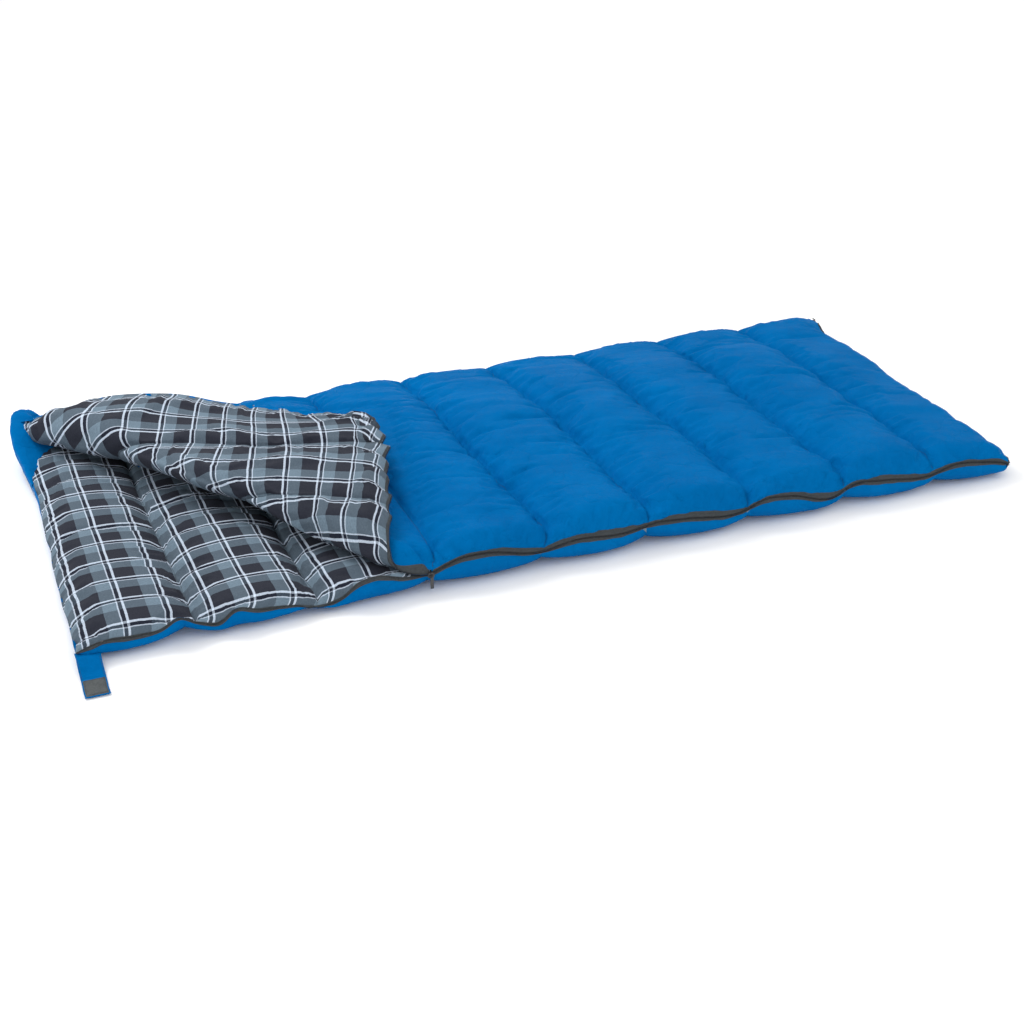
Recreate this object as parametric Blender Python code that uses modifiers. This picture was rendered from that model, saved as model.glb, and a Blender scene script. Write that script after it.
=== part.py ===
"""Rectangular sleeping bag, unzipped for its first third, with the loose corner folded back.

Axes: +X runs from the head end to the foot end, +Y to the closed long side, +Z up.
The origin is on the floor under the middle of the bag. All lengths are in metres.
The upper quilt and its corner are modelled zipped shut, and the corner's hinge then folds it.
"""
import math

import bmesh
import bpy
from mathutils import Matrix, Quaternion, Vector

# Size of the zipped bag, and its quilting
LENGTH = 1.905
WIDTH = 0.838
CHANNELS = 9
PITCH = LENGTH / CHANNELS
FOOT_RADIUS = 0.03
HEAD_RADIUS = 0.008

# Heights of the quilts, at a channel's crown and at a seam
BOTTOM_CROWN = 0.034
BOTTOM_SEAM = 0.022
SLEEP_GAP = 0.010
TOP_LOW = BOTTOM_CROWN + SLEEP_GAP
TOP_CROWN = 0.088
TOP_SEAM = 0.066
STEPS_PER_CHANNEL = 6

# Cloth thickness, and the gap left between pieces that touch
CLOTH = 0.001
GAP = 0.0003
MARGIN = 0.02

# Rows of quilting thread, lying in the valleys between channels
THREAD_WIDTH = 0.002
THREAD_HEIGHT = 0.0008
THREAD_LIFT = 0.001
THREAD_END = 0.012

# The zip stands on the near side and the foot end. OUT is measured outwards from the quilts' side.
OPEN_CHANNELS = 3
SLIDER_X = -LENGTH / 2 + OPEN_CHANNELS * PITCH
ZIP_Z = BOTTOM_CROWN + SLEEP_GAP / 2
ZIP_END_Y = 0.38
ZIP_HEAD_X = -LENGTH / 2 + 0.005
ZIP_STOP_X = -0.905
TAPE_THICK = 0.0006
TAPE_OUT = 0.0015
TAPE_EDGE = 0.0020
TAPE_WIDTH = 0.015
COIL_RADIUS = 0.0011
COIL_OUT = 0.0033
COIL_RISE = 0.0027
STOP_LENGTH = 0.004
STOP_SIZE = 0.0024
BOX_SIZE = (0.0040, 0.0100, 0.0055)
PIN_SIZE = (0.0016, 0.0120, 0.0016)

# Slider: two plates either side of the zip, a neck between the coils and a bridge for the pull tab
PLATE_LENGTH = 0.012
PLATE_HEIGHT = 0.0092
PLATE_THICK = 0.0014
PLATE_RADIUS = 0.0025
INNER_PLATE_OUT = 0.0001
OUTER_PLATE_OUT = 0.0055
FLANGE_LENGTH = 0.008
FLANGE_RISE = 0.00435
FLANGE_THICK = 0.0005
FLANGE_OUT = 0.0036
FLANGE_DEPTH = 0.0028
NECK_LENGTH = 0.003
NECK_HEIGHT = 0.0018
BRIDGE_OUT = OUTER_PLATE_OUT + PLATE_THICK / 2 + 0.0029
BRIDGE_SPAN = 0.0052
BRIDGE_RADIUS = 0.0007
LEG_SIZE = 0.0012
RING_RADIUS = 0.0019
RING_WIRE = 0.0006
GRIP_LENGTH = 0.024
GRIP_WIDTH = 0.006
GRIP_THICK = 0.0014
GRIP_TOP = 0.0016

# The loose corner folds about the line from the slider to the far head corner
FOLD_ANGLE = math.pi
FOLD_START = Vector((SLIDER_X, -WIDTH / 2, TOP_CROWN))
FOLD_END = Vector((-LENGTH / 2, WIDTH / 2, TOP_CROWN))

# The closed long side, where the upper quilt turns over like a page
SPINE_HINGE = Vector((0.0, WIDTH / 2 + 0.0016, TOP_LOW))

# Hook-and-loop strap at the near head corner, lying on the floor
STRAP_WIDTH = 0.042
STRAP_THICK = 0.0012
STRAP_X = -LENGTH / 2 + STRAP_WIDTH / 2
STRAP_HINGE = Vector((STRAP_X, -WIDTH / 2 - 0.008, 0.018))
STRAP_FALL = 0.026
STRAP_END_Y = -WIDTH / 2 - 0.112
STRAP_REST_Z = 0.0016
STRAP_STEPS = 6
PATCH_LENGTH = 0.048
PATCH_BORDER = 0.002

# Colour, roughness and metallic value of each material
FINISHES = {
    "shell_blue": ((0.002, 0.165, 0.48), 0.45, 0.0),
    "filling_white": ((0.85, 0.85, 0.83), 0.95, 0.0),
    "liner_plaid": ((0.09, 0.11, 0.13), 0.95, 0.0),
    "thread_blue": ((0.002, 0.12, 0.38), 0.7, 0.0),
    "thread_grey": ((0.08, 0.09, 0.10), 0.8, 0.0),
    "zip_tape": ((0.04, 0.045, 0.05), 0.85, 0.0),
    "zip_coil": ((0.02, 0.02, 0.022), 0.4, 0.0),
    "slider_metal": ((0.10, 0.10, 0.105), 0.35, 1.0),
    "hook_pile": ((0.03, 0.035, 0.04), 0.95, 0.0),
}

HEAD_FAR = (-LENGTH / 2, WIDTH / 2)
HEAD_NEAR = (-LENGTH / 2, -WIDTH / 2)
FOOT_NEAR = (LENGTH / 2, -WIDTH / 2)
FOOT_FAR = (LENGTH / 2, WIDTH / 2)
SLIDER_SPOT = (SLIDER_X, -WIDTH / 2)

# Plan outline of each quilt: its corners, their radii, and how far its side stands in from them
BOTTOM_PLAN = (
    (HEAD_FAR, HEAD_NEAR, FOOT_NEAR, FOOT_FAR),
    (HEAD_RADIUS, HEAD_RADIUS, FOOT_RADIUS, FOOT_RADIUS),
    0.0,
)
TOP_PLAN = (
    (HEAD_FAR, SLIDER_SPOT, FOOT_NEAR, FOOT_FAR),
    (0.0, 0.0, FOOT_RADIUS, FOOT_RADIUS),
    GAP,
)
FLAP_PLAN = (
    (HEAD_FAR, HEAD_NEAR, SLIDER_SPOT),
    (0.0, HEAD_RADIUS, 0.0),
    GAP,
)


def clear_scene():
    for old in list(bpy.data.objects):
        bpy.data.objects.remove(old)


def new_collection(name):
    collection = bpy.data.collections.new(name)
    bpy.context.scene.collection.children.link(collection)
    return collection


def new_material(name):
    colour, roughness, metallic = FINISHES[name]
    material = bpy.data.materials.new(name)
    material.use_nodes = True
    shader = material.node_tree.nodes["Principled BSDF"]
    shader.inputs["Base Color"].default_value = (*colour, 1.0)
    shader.inputs["Roughness"].default_value = roughness
    shader.inputs["Metallic"].default_value = metallic
    return material


def add_part(name, mesh, material):
    part = bpy.data.objects.new(name, mesh)
    PARTS.objects.link(part)
    mesh.materials.clear()
    mesh.materials.append(MATERIALS[material])
    return part


def add_cutter(name, mesh):
    cutter = bpy.data.objects.new(name, mesh)
    CUTTERS.objects.link(cutter)
    cutter.hide_render = True
    cutter.display_type = "WIRE"
    return cutter


def combine(piece, operation, other):
    modifier = piece.modifiers.new(other.name, "BOOLEAN")
    modifier.operation = operation
    modifier.object = other


def mesh_from_curve(name, curve, matrix):
    """Turns a curve into a closed mesh, with its caps welded on, placed by matrix."""
    guide = bpy.data.objects.new(name + "_guide", curve)
    bpy.context.scene.collection.objects.link(guide)
    bpy.context.view_layer.update()
    shape = guide.evaluated_get(bpy.context.evaluated_depsgraph_get())
    mesh = bpy.data.meshes.new_from_object(shape)
    bpy.data.objects.remove(guide)
    work = bmesh.new()
    work.from_mesh(mesh)
    bmesh.ops.remove_doubles(work, verts=work.verts, dist=0.00001)
    bmesh.ops.transform(work, matrix=matrix, verts=work.verts)
    bmesh.ops.recalc_face_normals(work, faces=work.faces)
    work.to_mesh(mesh)
    work.free()
    return mesh


def outline_mesh(name, points, depth, matrix):
    """A flat outline, filled and given a depth along its own Z."""
    curve = bpy.data.curves.new(name, "CURVE")
    curve.dimensions = "2D"
    curve.fill_mode = "BOTH"
    curve.extrude = depth / 2
    spline = curve.splines.new("POLY")
    spline.points.add(len(points) - 1)
    for point, (x, y) in zip(spline.points, points):
        point.co = (x, y, 0.0, 1.0)
    spline.use_cyclic_u = True
    return mesh_from_curve(name, curve, matrix)


def tube_mesh(name, points, radius):
    """A round bar along a list of points."""
    curve = bpy.data.curves.new(name, "CURVE")
    curve.dimensions = "3D"
    curve.bevel_depth = radius
    curve.bevel_resolution = 2
    curve.use_fill_caps = True
    spline = curve.splines.new("POLY")
    spline.points.add(len(points) - 1)
    for point, place in zip(spline.points, points):
        point.co = (*place, 1.0)
    return mesh_from_curve(name, curve, Matrix.Identity(4))


def box_mesh(name, size, centre):
    """A box of the given size about its centre."""
    work = bmesh.new()
    place = Matrix.Translation(centre) @ Matrix.Diagonal((*size, 1.0))
    bmesh.ops.create_cube(work, size=1.0, matrix=place)
    mesh = bpy.data.meshes.new(name)
    work.to_mesh(mesh)
    work.free()
    return mesh


def ribbon_mesh(name, points, width):
    """An open strip: a line of points, drawn out along width."""
    work = bmesh.new()
    row = [work.verts.new(point) for point in points]
    edges = [work.edges.new(pair) for pair in zip(row, row[1:])]
    drawn = bmesh.ops.extrude_edge_only(work, edges=edges)
    far_row = [item for item in drawn["geom"] if isinstance(item, bmesh.types.BMVert)]
    bmesh.ops.translate(work, verts=far_row, vec=width)
    mesh = bpy.data.meshes.new(name)
    work.to_mesh(mesh)
    work.free()
    return mesh


def thicken(piece, thickness):
    """Gives an open strip its thickness, half on each side."""
    modifier = piece.modifiers.new("thickness", "SOLIDIFY")
    modifier.thickness = thickness
    modifier.offset = 0.0
    modifier.use_even_offset = True


def inset_corners(corners, inset):
    """Moves every side of a counter-clockwise convex outline inwards."""
    moved = []
    for i, corner in enumerate(corners):
        along_in = (corner - corners[i - 1]).normalized()
        along_out = (corners[(i + 1) % len(corners)] - corner).normalized()
        normal_in = Vector((-along_in.y, along_in.x))
        normal_out = Vector((-along_out.y, along_out.x))
        reach = inset / (1.0 + normal_in.dot(normal_out))
        moved.append(corner + (normal_in + normal_out) * reach)
    return moved


def plan_outline(plan, inset):
    """A quilt's outline in plan, inset from its side, with round corners."""
    corners, radii, side = plan
    sharp = inset_corners([Vector(corner) for corner in corners], inset + side)
    points = []
    for i, corner in enumerate(sharp):
        if radii[i] == 0.0:
            points.append(tuple(corner))
            continue
        radius = radii[i] - inset
        back = (sharp[i - 1] - corner).normalized()
        ahead = (sharp[(i + 1) % len(sharp)] - corner).normalized()
        half = back.angle(ahead) / 2
        centre = corner + (back + ahead).normalized() * radius / math.sin(half)
        spoke = corner + back * radius / math.tan(half) - centre
        for step in range(5):
            turn = Matrix.Rotation((math.pi - 2 * half) * step / 4, 2)
            points.append(tuple(centre + turn @ spoke))
    return points


def plan_cutter(name, plan, inset):
    """A tall prism with the outline of a quilt, to cut its layers by."""
    depth = TOP_CROWN + 4 * MARGIN
    centre = Matrix.Translation((0.0, 0.0, TOP_CROWN / 2))
    return add_cutter(name, outline_mesh(name, plan_outline(plan, inset), depth, centre))


def channel_height(x, seam, crown):
    """Height of a quilted face: an arch over each channel, level beyond the two ends."""
    along = min(max((x + LENGTH / 2) / PITCH, 0.0), CHANNELS)
    across = 2.0 * (along % 1.0) - 1.0
    return seam + (crown - seam) * (1.0 - across ** 2)


def bottom_face(x):
    return channel_height(x, BOTTOM_SEAM, BOTTOM_CROWN)


def top_face(x):
    return channel_height(x, TOP_SEAM, TOP_CROWN - GAP / 2)


def layer_mesh(name, low, high):
    """The space between two heights over x, drawn in XZ and extruded along Y."""
    count = CHANNELS * STEPS_PER_CHANNEL
    stations = [-LENGTH / 2 + LENGTH * step / count for step in range(count + 1)]
    stations = [stations[0] - MARGIN] + stations + [stations[-1] + MARGIN]
    points = [(x, low(x)) for x in stations] + [(x, high(x)) for x in reversed(stations)]
    upright = Matrix.Rotation(math.pi / 2, 4, "X")
    return outline_mesh(name, points, WIDTH + 2 * MARGIN, upright)


def add_layer(name, plan, inset, low, high, material):
    """One solid layer of a quilt, cut to the quilt's outline."""
    layer = add_part(name, layer_mesh(name, low, high), material)
    combine(layer, "INTERSECT", plan_cutter(name + "_plan", plan, inset))
    return layer


def add_flat_layer(name, plan, inset, low, high, material):
    """A layer that is level on both sides, straight from the quilt's outline."""
    centre = Matrix.Translation((0.0, 0.0, (low + high) / 2))
    return add_part(name, outline_mesh(name, plan_outline(plan, inset), high - low, centre), material)


def hollow_shell(shell, plan, low, high):
    """Takes the inside out of a shell, which leaves its face and its side walls."""
    cavity = add_cutter(shell.name + "_cavity", layer_mesh(shell.name + "_cavity", low, high))
    combine(cavity, "INTERSECT", plan_cutter(shell.name + "_inner_plan", plan, CLOTH))
    combine(shell, "DIFFERENCE", cavity)


def build_bottom_layers():
    inset = CLOTH + GAP
    shell = add_layer("bottom_shell", BOTTOM_PLAN, 0.0, lambda x: 0.0, bottom_face, "shell_blue")
    hollow_shell(shell, BOTTOM_PLAN, lambda x: CLOTH, lambda x: TOP_CROWN)
    add_layer(
        "bottom_filling", BOTTOM_PLAN, inset,
        lambda x: inset, lambda x: bottom_face(x) - inset, "filling_white",
    )
    add_layer(
        "bottom_liner", BOTTOM_PLAN, inset,
        lambda x: bottom_face(x) - CLOTH, bottom_face, "liner_plaid",
    )


def build_upper_layers(prefix, plan):
    """Shell, filling and liner of the upper quilt or of its corner, both zipped shut."""
    inset = CLOTH + GAP
    low = TOP_LOW + GAP
    shell = add_layer(prefix + "_shell", plan, 0.0, lambda x: low, top_face, "shell_blue")
    hollow_shell(shell, plan, lambda x: 0.0, lambda x: top_face(x) - CLOTH)
    filling = add_layer(
        prefix + "_filling", plan, inset,
        lambda x: low + inset, lambda x: top_face(x) - inset, "filling_white",
    )
    liner = add_flat_layer(prefix + "_liner", plan, inset, low, low + CLOTH, "liner_plaid")
    return [shell, filling, liner]


def fold_line_y(x):
    """Where the fold line crosses x in plan."""
    share = (SLIDER_X - x) / (SLIDER_X + LENGTH / 2)
    return -WIDTH / 2 + WIDTH * share


def add_thread(name, x, y_from, y_to, valley, material):
    """A row of quilting thread along a seam, just above the valley it lies in."""
    size = (THREAD_WIDTH, y_to - y_from, THREAD_HEIGHT)
    centre = (x, (y_from + y_to) / 2, valley + THREAD_LIFT + THREAD_HEIGHT / 2)
    return add_part(name, box_mesh(name, size, centre), material)


def build_threads():
    """Quilting rows of all three quilts; returns those on the loose corner."""
    side = WIDTH / 2 - THREAD_END
    on_flap = []
    for seam in range(1, CHANNELS):
        x = -LENGTH / 2 + seam * PITCH
        crease = fold_line_y(x)
        add_thread(f"bottom_quilting_{seam}", x, -side, side, BOTTOM_SEAM, "thread_grey")
        start = max(crease, -WIDTH / 2) + THREAD_END
        add_thread(f"top_quilting_{seam}", x, start, side, TOP_SEAM, "thread_blue")
        if seam < OPEN_CHANNELS:
            name = f"flap_quilting_{seam}"
            row = add_thread(name, x, -side, crease - THREAD_END, TOP_SEAM, "thread_blue")
            on_flap.append(row)
    return on_flap


def zip_route(start_x, out, z):
    """From start_x along the near side, round the foot corner and along the foot end."""
    centre = Vector((LENGTH / 2 - FOOT_RADIUS, -WIDTH / 2 + FOOT_RADIUS, z))
    points = [Vector((start_x, -WIDTH / 2 - out, z))]
    for step in range(7):
        angle = math.pi / 2 * (step / 6 - 1.0)
        spoke = Vector((math.cos(angle), math.sin(angle), 0.0))
        points.append(centre + spoke * (FOOT_RADIUS + out))
    points.append(Vector((LENGTH / 2 + out, ZIP_END_Y, z)))
    return points


def near_side_route(start_x, end_x, out, z):
    return [Vector((x, -WIDTH / 2 - out, z)) for x in (start_x, end_x)]


def add_tape(name, route, width):
    tape = add_part(name, ribbon_mesh(name, route, Vector((0.0, 0.0, width))), "zip_tape")
    thicken(tape, TAPE_THICK)
    return tape


def add_coil(name, route):
    return add_part(name, tube_mesh(name, route, COIL_RADIUS), "zip_coil")


def add_stop(name, z):
    size = (STOP_LENGTH, STOP_SIZE, STOP_SIZE)
    centre = (ZIP_STOP_X, -WIDTH / 2 - COIL_OUT, z)
    return add_part(name, box_mesh(name, size, centre), "slider_metal")


def build_zip():
    """Both halves of the zip; returns the pieces on the loose corner."""
    low_edge = ZIP_Z - TAPE_EDGE
    high_edge = ZIP_Z + TAPE_EDGE
    low_coil = ZIP_Z - COIL_RISE
    high_coil = ZIP_Z + COIL_RISE
    coil_start = ZIP_STOP_X + STOP_LENGTH / 2 + GAP
    part_before = SLIDER_X - THREAD_WIDTH
    part_after = SLIDER_X + THREAD_WIDTH

    add_tape("lower_zip_tape", zip_route(ZIP_HEAD_X, TAPE_OUT, low_edge), -TAPE_WIDTH)
    add_coil("lower_zip_coil", zip_route(coil_start, COIL_OUT, low_coil))
    add_stop("lower_top_stop", low_coil)
    add_tape("upper_zip_tape", zip_route(part_after, TAPE_OUT, high_edge), TAPE_WIDTH)
    add_coil("upper_zip_coil", zip_route(part_after, COIL_OUT, high_coil))

    foot_out = LENGTH / 2 + COIL_OUT
    box_centre = (foot_out, ZIP_END_Y + GAP + BOX_SIZE[1] / 2, low_coil)
    box = box_mesh("retainer_box", BOX_SIZE, box_centre)
    add_part("retainer_box", box, "zip_coil")
    pin_centre = (foot_out, ZIP_END_Y + GAP + PIN_SIZE[1] / 2, high_coil + GAP)
    pin = box_mesh("insertion_pin", PIN_SIZE, pin_centre)
    add_part("insertion_pin", pin, "zip_coil")

    tape_route = near_side_route(ZIP_HEAD_X, part_before, TAPE_OUT, high_edge)
    coil_route = near_side_route(coil_start, part_before, COIL_OUT, high_coil)
    return [
        add_tape("flap_zip_tape", tape_route, TAPE_WIDTH),
        add_coil("flap_zip_coil", coil_route),
        add_stop("flap_top_stop", high_coil),
    ]


def add_hinge(name, place):
    """An empty on a joint's axis, which carries the pieces that move with the joint."""
    hinge = bpy.data.objects.new(name, None)
    hinge.location = place
    hinge.empty_display_size = 0.05
    PARTS.objects.link(hinge)
    return hinge


def carry(hinge, pieces):
    """Parents pieces to a hinge, with the cutters that shape them."""
    for piece in pieces:
        piece.parent = hinge
        piece.matrix_parent_inverse = Matrix.Translation(hinge.location).inverted()
        carry(hinge, [modifier.object for modifier in piece.modifiers if modifier.type == "BOOLEAN"])


def slider_place(x, out, rise):
    """A point given from the slider's middle: along the zip, outwards and up."""
    return Vector((SLIDER_X + x, -WIDTH / 2 - out, ZIP_Z + rise))


def plate_mesh(name, out):
    """A slider plate: a rectangle with round corners, standing in the plane of the zip."""
    half_length = PLATE_LENGTH / 2
    half_height = PLATE_HEIGHT / 2
    corners = (
        (-half_length, -half_height), (half_length, -half_height),
        (half_length, half_height), (-half_length, half_height),
    )
    outline = plan_outline((corners, (PLATE_RADIUS,) * 4, 0.0), 0.0)
    upright = Matrix.Rotation(math.pi / 2, 4, "X")
    place = Matrix.Translation(slider_place(0.0, out, 0.0)) @ upright
    return outline_mesh(name, outline, PLATE_THICK, place)


def build_slider():
    body = add_part("slider_body", plate_mesh("slider_body", OUTER_PLATE_OUT), "slider_metal")
    combine(body, "UNION", add_cutter("inner_plate", plate_mesh("inner_plate", INNER_PLATE_OUT)))

    neck_depth = OUTER_PLATE_OUT - INNER_PLATE_OUT
    neck_centre = slider_place(
        NECK_LENGTH - PLATE_LENGTH / 2, (OUTER_PLATE_OUT + INNER_PLATE_OUT) / 2, 0.0,
    )
    neck = box_mesh("neck", (NECK_LENGTH, neck_depth, NECK_HEIGHT), neck_centre)
    combine(body, "UNION", add_cutter("neck", neck))

    for side, name in ((-1, "lower_flange"), (1, "upper_flange")):
        size = (FLANGE_LENGTH, FLANGE_DEPTH, FLANGE_THICK)
        centre = slider_place(0.0, FLANGE_OUT, side * FLANGE_RISE)
        combine(body, "UNION", add_cutter(name, box_mesh(name, size, centre)))

    leg_depth = BRIDGE_OUT + BRIDGE_RADIUS - OUTER_PLATE_OUT
    for side, name in ((-1, "front_leg"), (1, "rear_leg")):
        centre = slider_place(side * BRIDGE_SPAN / 2, OUTER_PLATE_OUT + leg_depth / 2, 0.0)
        leg = box_mesh(name, (LEG_SIZE, leg_depth, LEG_SIZE), centre)
        combine(body, "UNION", add_cutter(name, leg))
    ends = [slider_place(side * BRIDGE_SPAN / 2, BRIDGE_OUT, 0.0) for side in (-1, 1)]
    combine(body, "UNION", add_cutter("bridge_bar", tube_mesh("bridge_bar", ends, BRIDGE_RADIUS)))
    return body


def build_pull_tab():
    """A grip that hangs from the slider's bridge by a ring."""
    centre = slider_place(0.0, BRIDGE_OUT, -GRIP_TOP - GRIP_LENGTH / 2)
    size = (GRIP_WIDTH, GRIP_THICK, GRIP_LENGTH)
    grip = add_part("pull_tab", box_mesh("pull_tab", size, centre), "slider_metal")
    bpy.ops.mesh.primitive_torus_add(
        major_radius=RING_RADIUS, minor_radius=RING_WIRE, major_segments=20, minor_segments=8,
        location=slider_place(0.0, BRIDGE_OUT, 0.0), rotation=(0.0, math.pi / 2, 0.0),
    )
    ring = bpy.context.object
    ring.name = "pull_ring"
    for holder in list(ring.users_collection):
        holder.objects.unlink(ring)
    CUTTERS.objects.link(ring)
    ring.hide_render = True
    ring.display_type = "WIRE"
    combine(grip, "UNION", ring)
    return grip


def strap_route():
    """From the strap's hinge down to the floor, then flat to its end."""
    points = []
    for step in range(STRAP_STEPS + 1):
        share = step / STRAP_STEPS
        ease = share * share * (3.0 - 2.0 * share)
        y = STRAP_HINGE.y - STRAP_FALL * share
        z = STRAP_HINGE.z + (STRAP_REST_Z - STRAP_HINGE.z) * ease
        points.append(Vector((STRAP_X - STRAP_WIDTH / 2, y, z)))
    points.append(Vector((STRAP_X - STRAP_WIDTH / 2, STRAP_END_Y, STRAP_REST_Z)))
    return points


def build_strap():
    """The closing strap with its hook patch; its root is sewn to the bottom quilt's side."""
    across = Vector((STRAP_WIDTH, 0.0, 0.0))
    strap = add_part("closure_strap", ribbon_mesh("closure_strap", strap_route(), across), "shell_blue")
    thicken(strap, STRAP_THICK)

    patch_size = (STRAP_WIDTH - 2 * PATCH_BORDER, PATCH_LENGTH, CLOTH)
    patch_y = STRAP_END_Y + PATCH_BORDER + PATCH_LENGTH / 2
    patch_z = STRAP_REST_Z + STRAP_THICK / 2 + GAP + CLOTH / 2
    patch = box_mesh("hook_patch", patch_size, (STRAP_X, patch_y, patch_z))
    hook_patch = add_part("hook_patch", patch, "hook_pile")

    root_from = STRAP_HINGE.y + STRAP_THICK / 2 + GAP
    root_to = -WIDTH / 2 - GAP
    root_size = (STRAP_WIDTH, root_to - root_from, STRAP_THICK)
    root_centre = (STRAP_X, (root_from + root_to) / 2, STRAP_HINGE.z)
    add_part("strap_root", box_mesh("strap_root", root_size, root_centre), "shell_blue")
    return [strap, hook_patch]


def build_loop_patch():
    """The strap's mating patch, on the outer face of the loose corner."""
    left = STRAP_X - STRAP_WIDTH / 2 + PATCH_BORDER + HEAD_RADIUS
    right = STRAP_X + STRAP_WIDTH / 2 - PATCH_BORDER
    near = -WIDTH / 2 + HEAD_RADIUS
    corners = ((left, near), (right, near), (right, near + PATCH_LENGTH), (left, near + PATCH_LENGTH))
    plan = (corners, (0.0,) * 4, 0.0)
    return add_layer(
        "loop_patch", plan, 0.0,
        lambda x: top_face(x) + GAP, lambda x: top_face(x) + GAP + CLOTH, "hook_pile",
    )


def build_spine():
    """The shell where it turns from the bottom quilt to the upper one, on the closed side."""
    height = TOP_LOW - GAP
    centre = (0.0, WIDTH / 2 + GAP + CLOTH / 2, height / 2)
    spine = box_mesh("spine_shell", (LENGTH - 2 * FOOT_RADIUS, CLOTH, height), centre)
    add_part("spine_shell", spine, "shell_blue")


def main():
    build_bottom_layers()
    build_spine()
    build_upper_layers("top", TOP_PLAN)
    flap_pieces = build_upper_layers("flap", FLAP_PLAN)
    flap_pieces += build_threads()
    flap_pieces += build_zip()
    flap_pieces.append(build_loop_patch())
    fold = add_hinge("flap_fold_axis", FOLD_START)
    carry(fold, flap_pieces)
    fold.rotation_mode = "QUATERNION"
    fold.rotation_quaternion = Quaternion((FOLD_END - FOLD_START).normalized(), FOLD_ANGLE)

    top_pieces = [part for part in PARTS.objects if part.name.startswith(("top_", "upper_", "insertion"))]
    carry(add_hinge("spine_axis", SPINE_HINGE), top_pieces)
    carry(add_hinge("slider_axis", slider_place(0.0, 0.0, 0.0)), [build_slider()])
    carry(add_hinge("pull_tab_axis", slider_place(0.0, BRIDGE_OUT, 0.0)), [build_pull_tab()])
    carry(add_hinge("strap_axis", STRAP_HINGE), build_strap())


clear_scene()
PARTS = new_collection("rectangular_sleeping_bag")
CUTTERS = new_collection("cutters")
MATERIALS = {finish: new_material(finish) for finish in FINISHES}
main()
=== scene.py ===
"""Looks of the rectangular sleeping bag: quilted cloth, plaid flannel, zip, strap, lights and camera.

Every sheet of cloth is one lattice of points, CELLS to a channel along the bag and 3 * CELLS across it.
The fold line of the loose corner then runs through the lattice's points, where i + j = FOLD.
Lengths are in metres. +X runs from the head end to the foot end, +Y to the closed side, +Z up.
"""
import math

import bpy
import numpy as np
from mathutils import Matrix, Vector


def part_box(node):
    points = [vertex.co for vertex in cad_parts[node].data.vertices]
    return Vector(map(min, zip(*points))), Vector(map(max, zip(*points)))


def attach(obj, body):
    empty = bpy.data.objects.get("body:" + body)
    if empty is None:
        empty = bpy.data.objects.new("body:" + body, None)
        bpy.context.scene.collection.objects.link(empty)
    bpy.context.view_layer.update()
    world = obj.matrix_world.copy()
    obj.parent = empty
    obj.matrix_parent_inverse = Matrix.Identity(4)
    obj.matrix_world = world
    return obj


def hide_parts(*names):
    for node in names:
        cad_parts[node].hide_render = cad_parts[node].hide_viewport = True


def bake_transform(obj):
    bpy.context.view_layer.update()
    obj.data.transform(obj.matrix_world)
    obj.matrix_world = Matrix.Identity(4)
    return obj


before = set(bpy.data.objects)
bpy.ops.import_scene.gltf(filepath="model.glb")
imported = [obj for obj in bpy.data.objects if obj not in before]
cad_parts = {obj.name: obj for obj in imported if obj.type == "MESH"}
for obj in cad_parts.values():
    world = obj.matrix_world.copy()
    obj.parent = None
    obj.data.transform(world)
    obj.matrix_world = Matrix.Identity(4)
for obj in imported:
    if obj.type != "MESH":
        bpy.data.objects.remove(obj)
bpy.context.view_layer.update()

# Sizes read from the frame
shell_low, shell_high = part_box("bottom_shell")
LENGTH = shell_high.x - shell_low.x
WIDTH = shell_high.y - shell_low.y
slider_low, slider_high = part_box("slider_body")
SLIDER_X = (slider_low.x + slider_high.x) / 2
ZIP_Z = (slider_low.z + slider_high.z) / 2
FOLD_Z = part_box("top_shell")[1].z
CHANNELS = 9
PITCH = LENGTH / CHANNELS

# The lattice
CELLS = 48
COLUMNS = CHANNELS * CELLS
ROWS = 3 * CELLS
FOLD = 3 * CELLS
STEP_X = LENGTH / COLUMNS
STEP_Y = WIDTH / ROWS
OPENING = SLIDER_X + LENGTH / 2
FOLD_LENGTH = math.hypot(OPENING, WIDTH)
FOLD_ALONG = np.array([-OPENING, WIDTH]) / FOLD_LENGTH
FOLD_ACROSS = np.array([FOLD_ALONG[1], -FOLD_ALONG[0]])

# Heights of the quilts
TOP_SEAM = 0.066
TOP_CROWN = 0.089
LINER_UNDER = 0.0485
BOTTOM_SEAM = 0.023
BOTTOM_CROWN_OPEN = 0.048
BOTTOM_CROWN_SHUT = 0.043
EQUATOR = 0.032
FLOOR_GAP = 0.0008
# the roll's crown eases off above ROLL_TOP, and rises no more than ROLL_ROOM over it
ROLL_TOP = 0.1395
ROLL_ROOM = 0.0080

I, J = np.meshgrid(np.arange(COLUMNS + 1), np.arange(ROWS + 1), indexing="ij")
CLOTH_X = I * STEP_X
CLOTH_Y = J * STEP_Y
ZERO = np.zeros(I.shape)
NOISE_CELLS = 257


# ---------------------------------------------------------------- small numeric helpers
def smooth(low, high, value):
    """0 up to low, 1 from high on and a smooth step between them. low may be the greater of the two."""
    t = np.clip((value - low) / (high - low), 0.0, 1.0)
    return t * t * (3.0 - 2.0 * t)


def mix(a, b, share):
    """a where share is 0, b where it is 1."""
    return a + (b - a) * share


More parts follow.
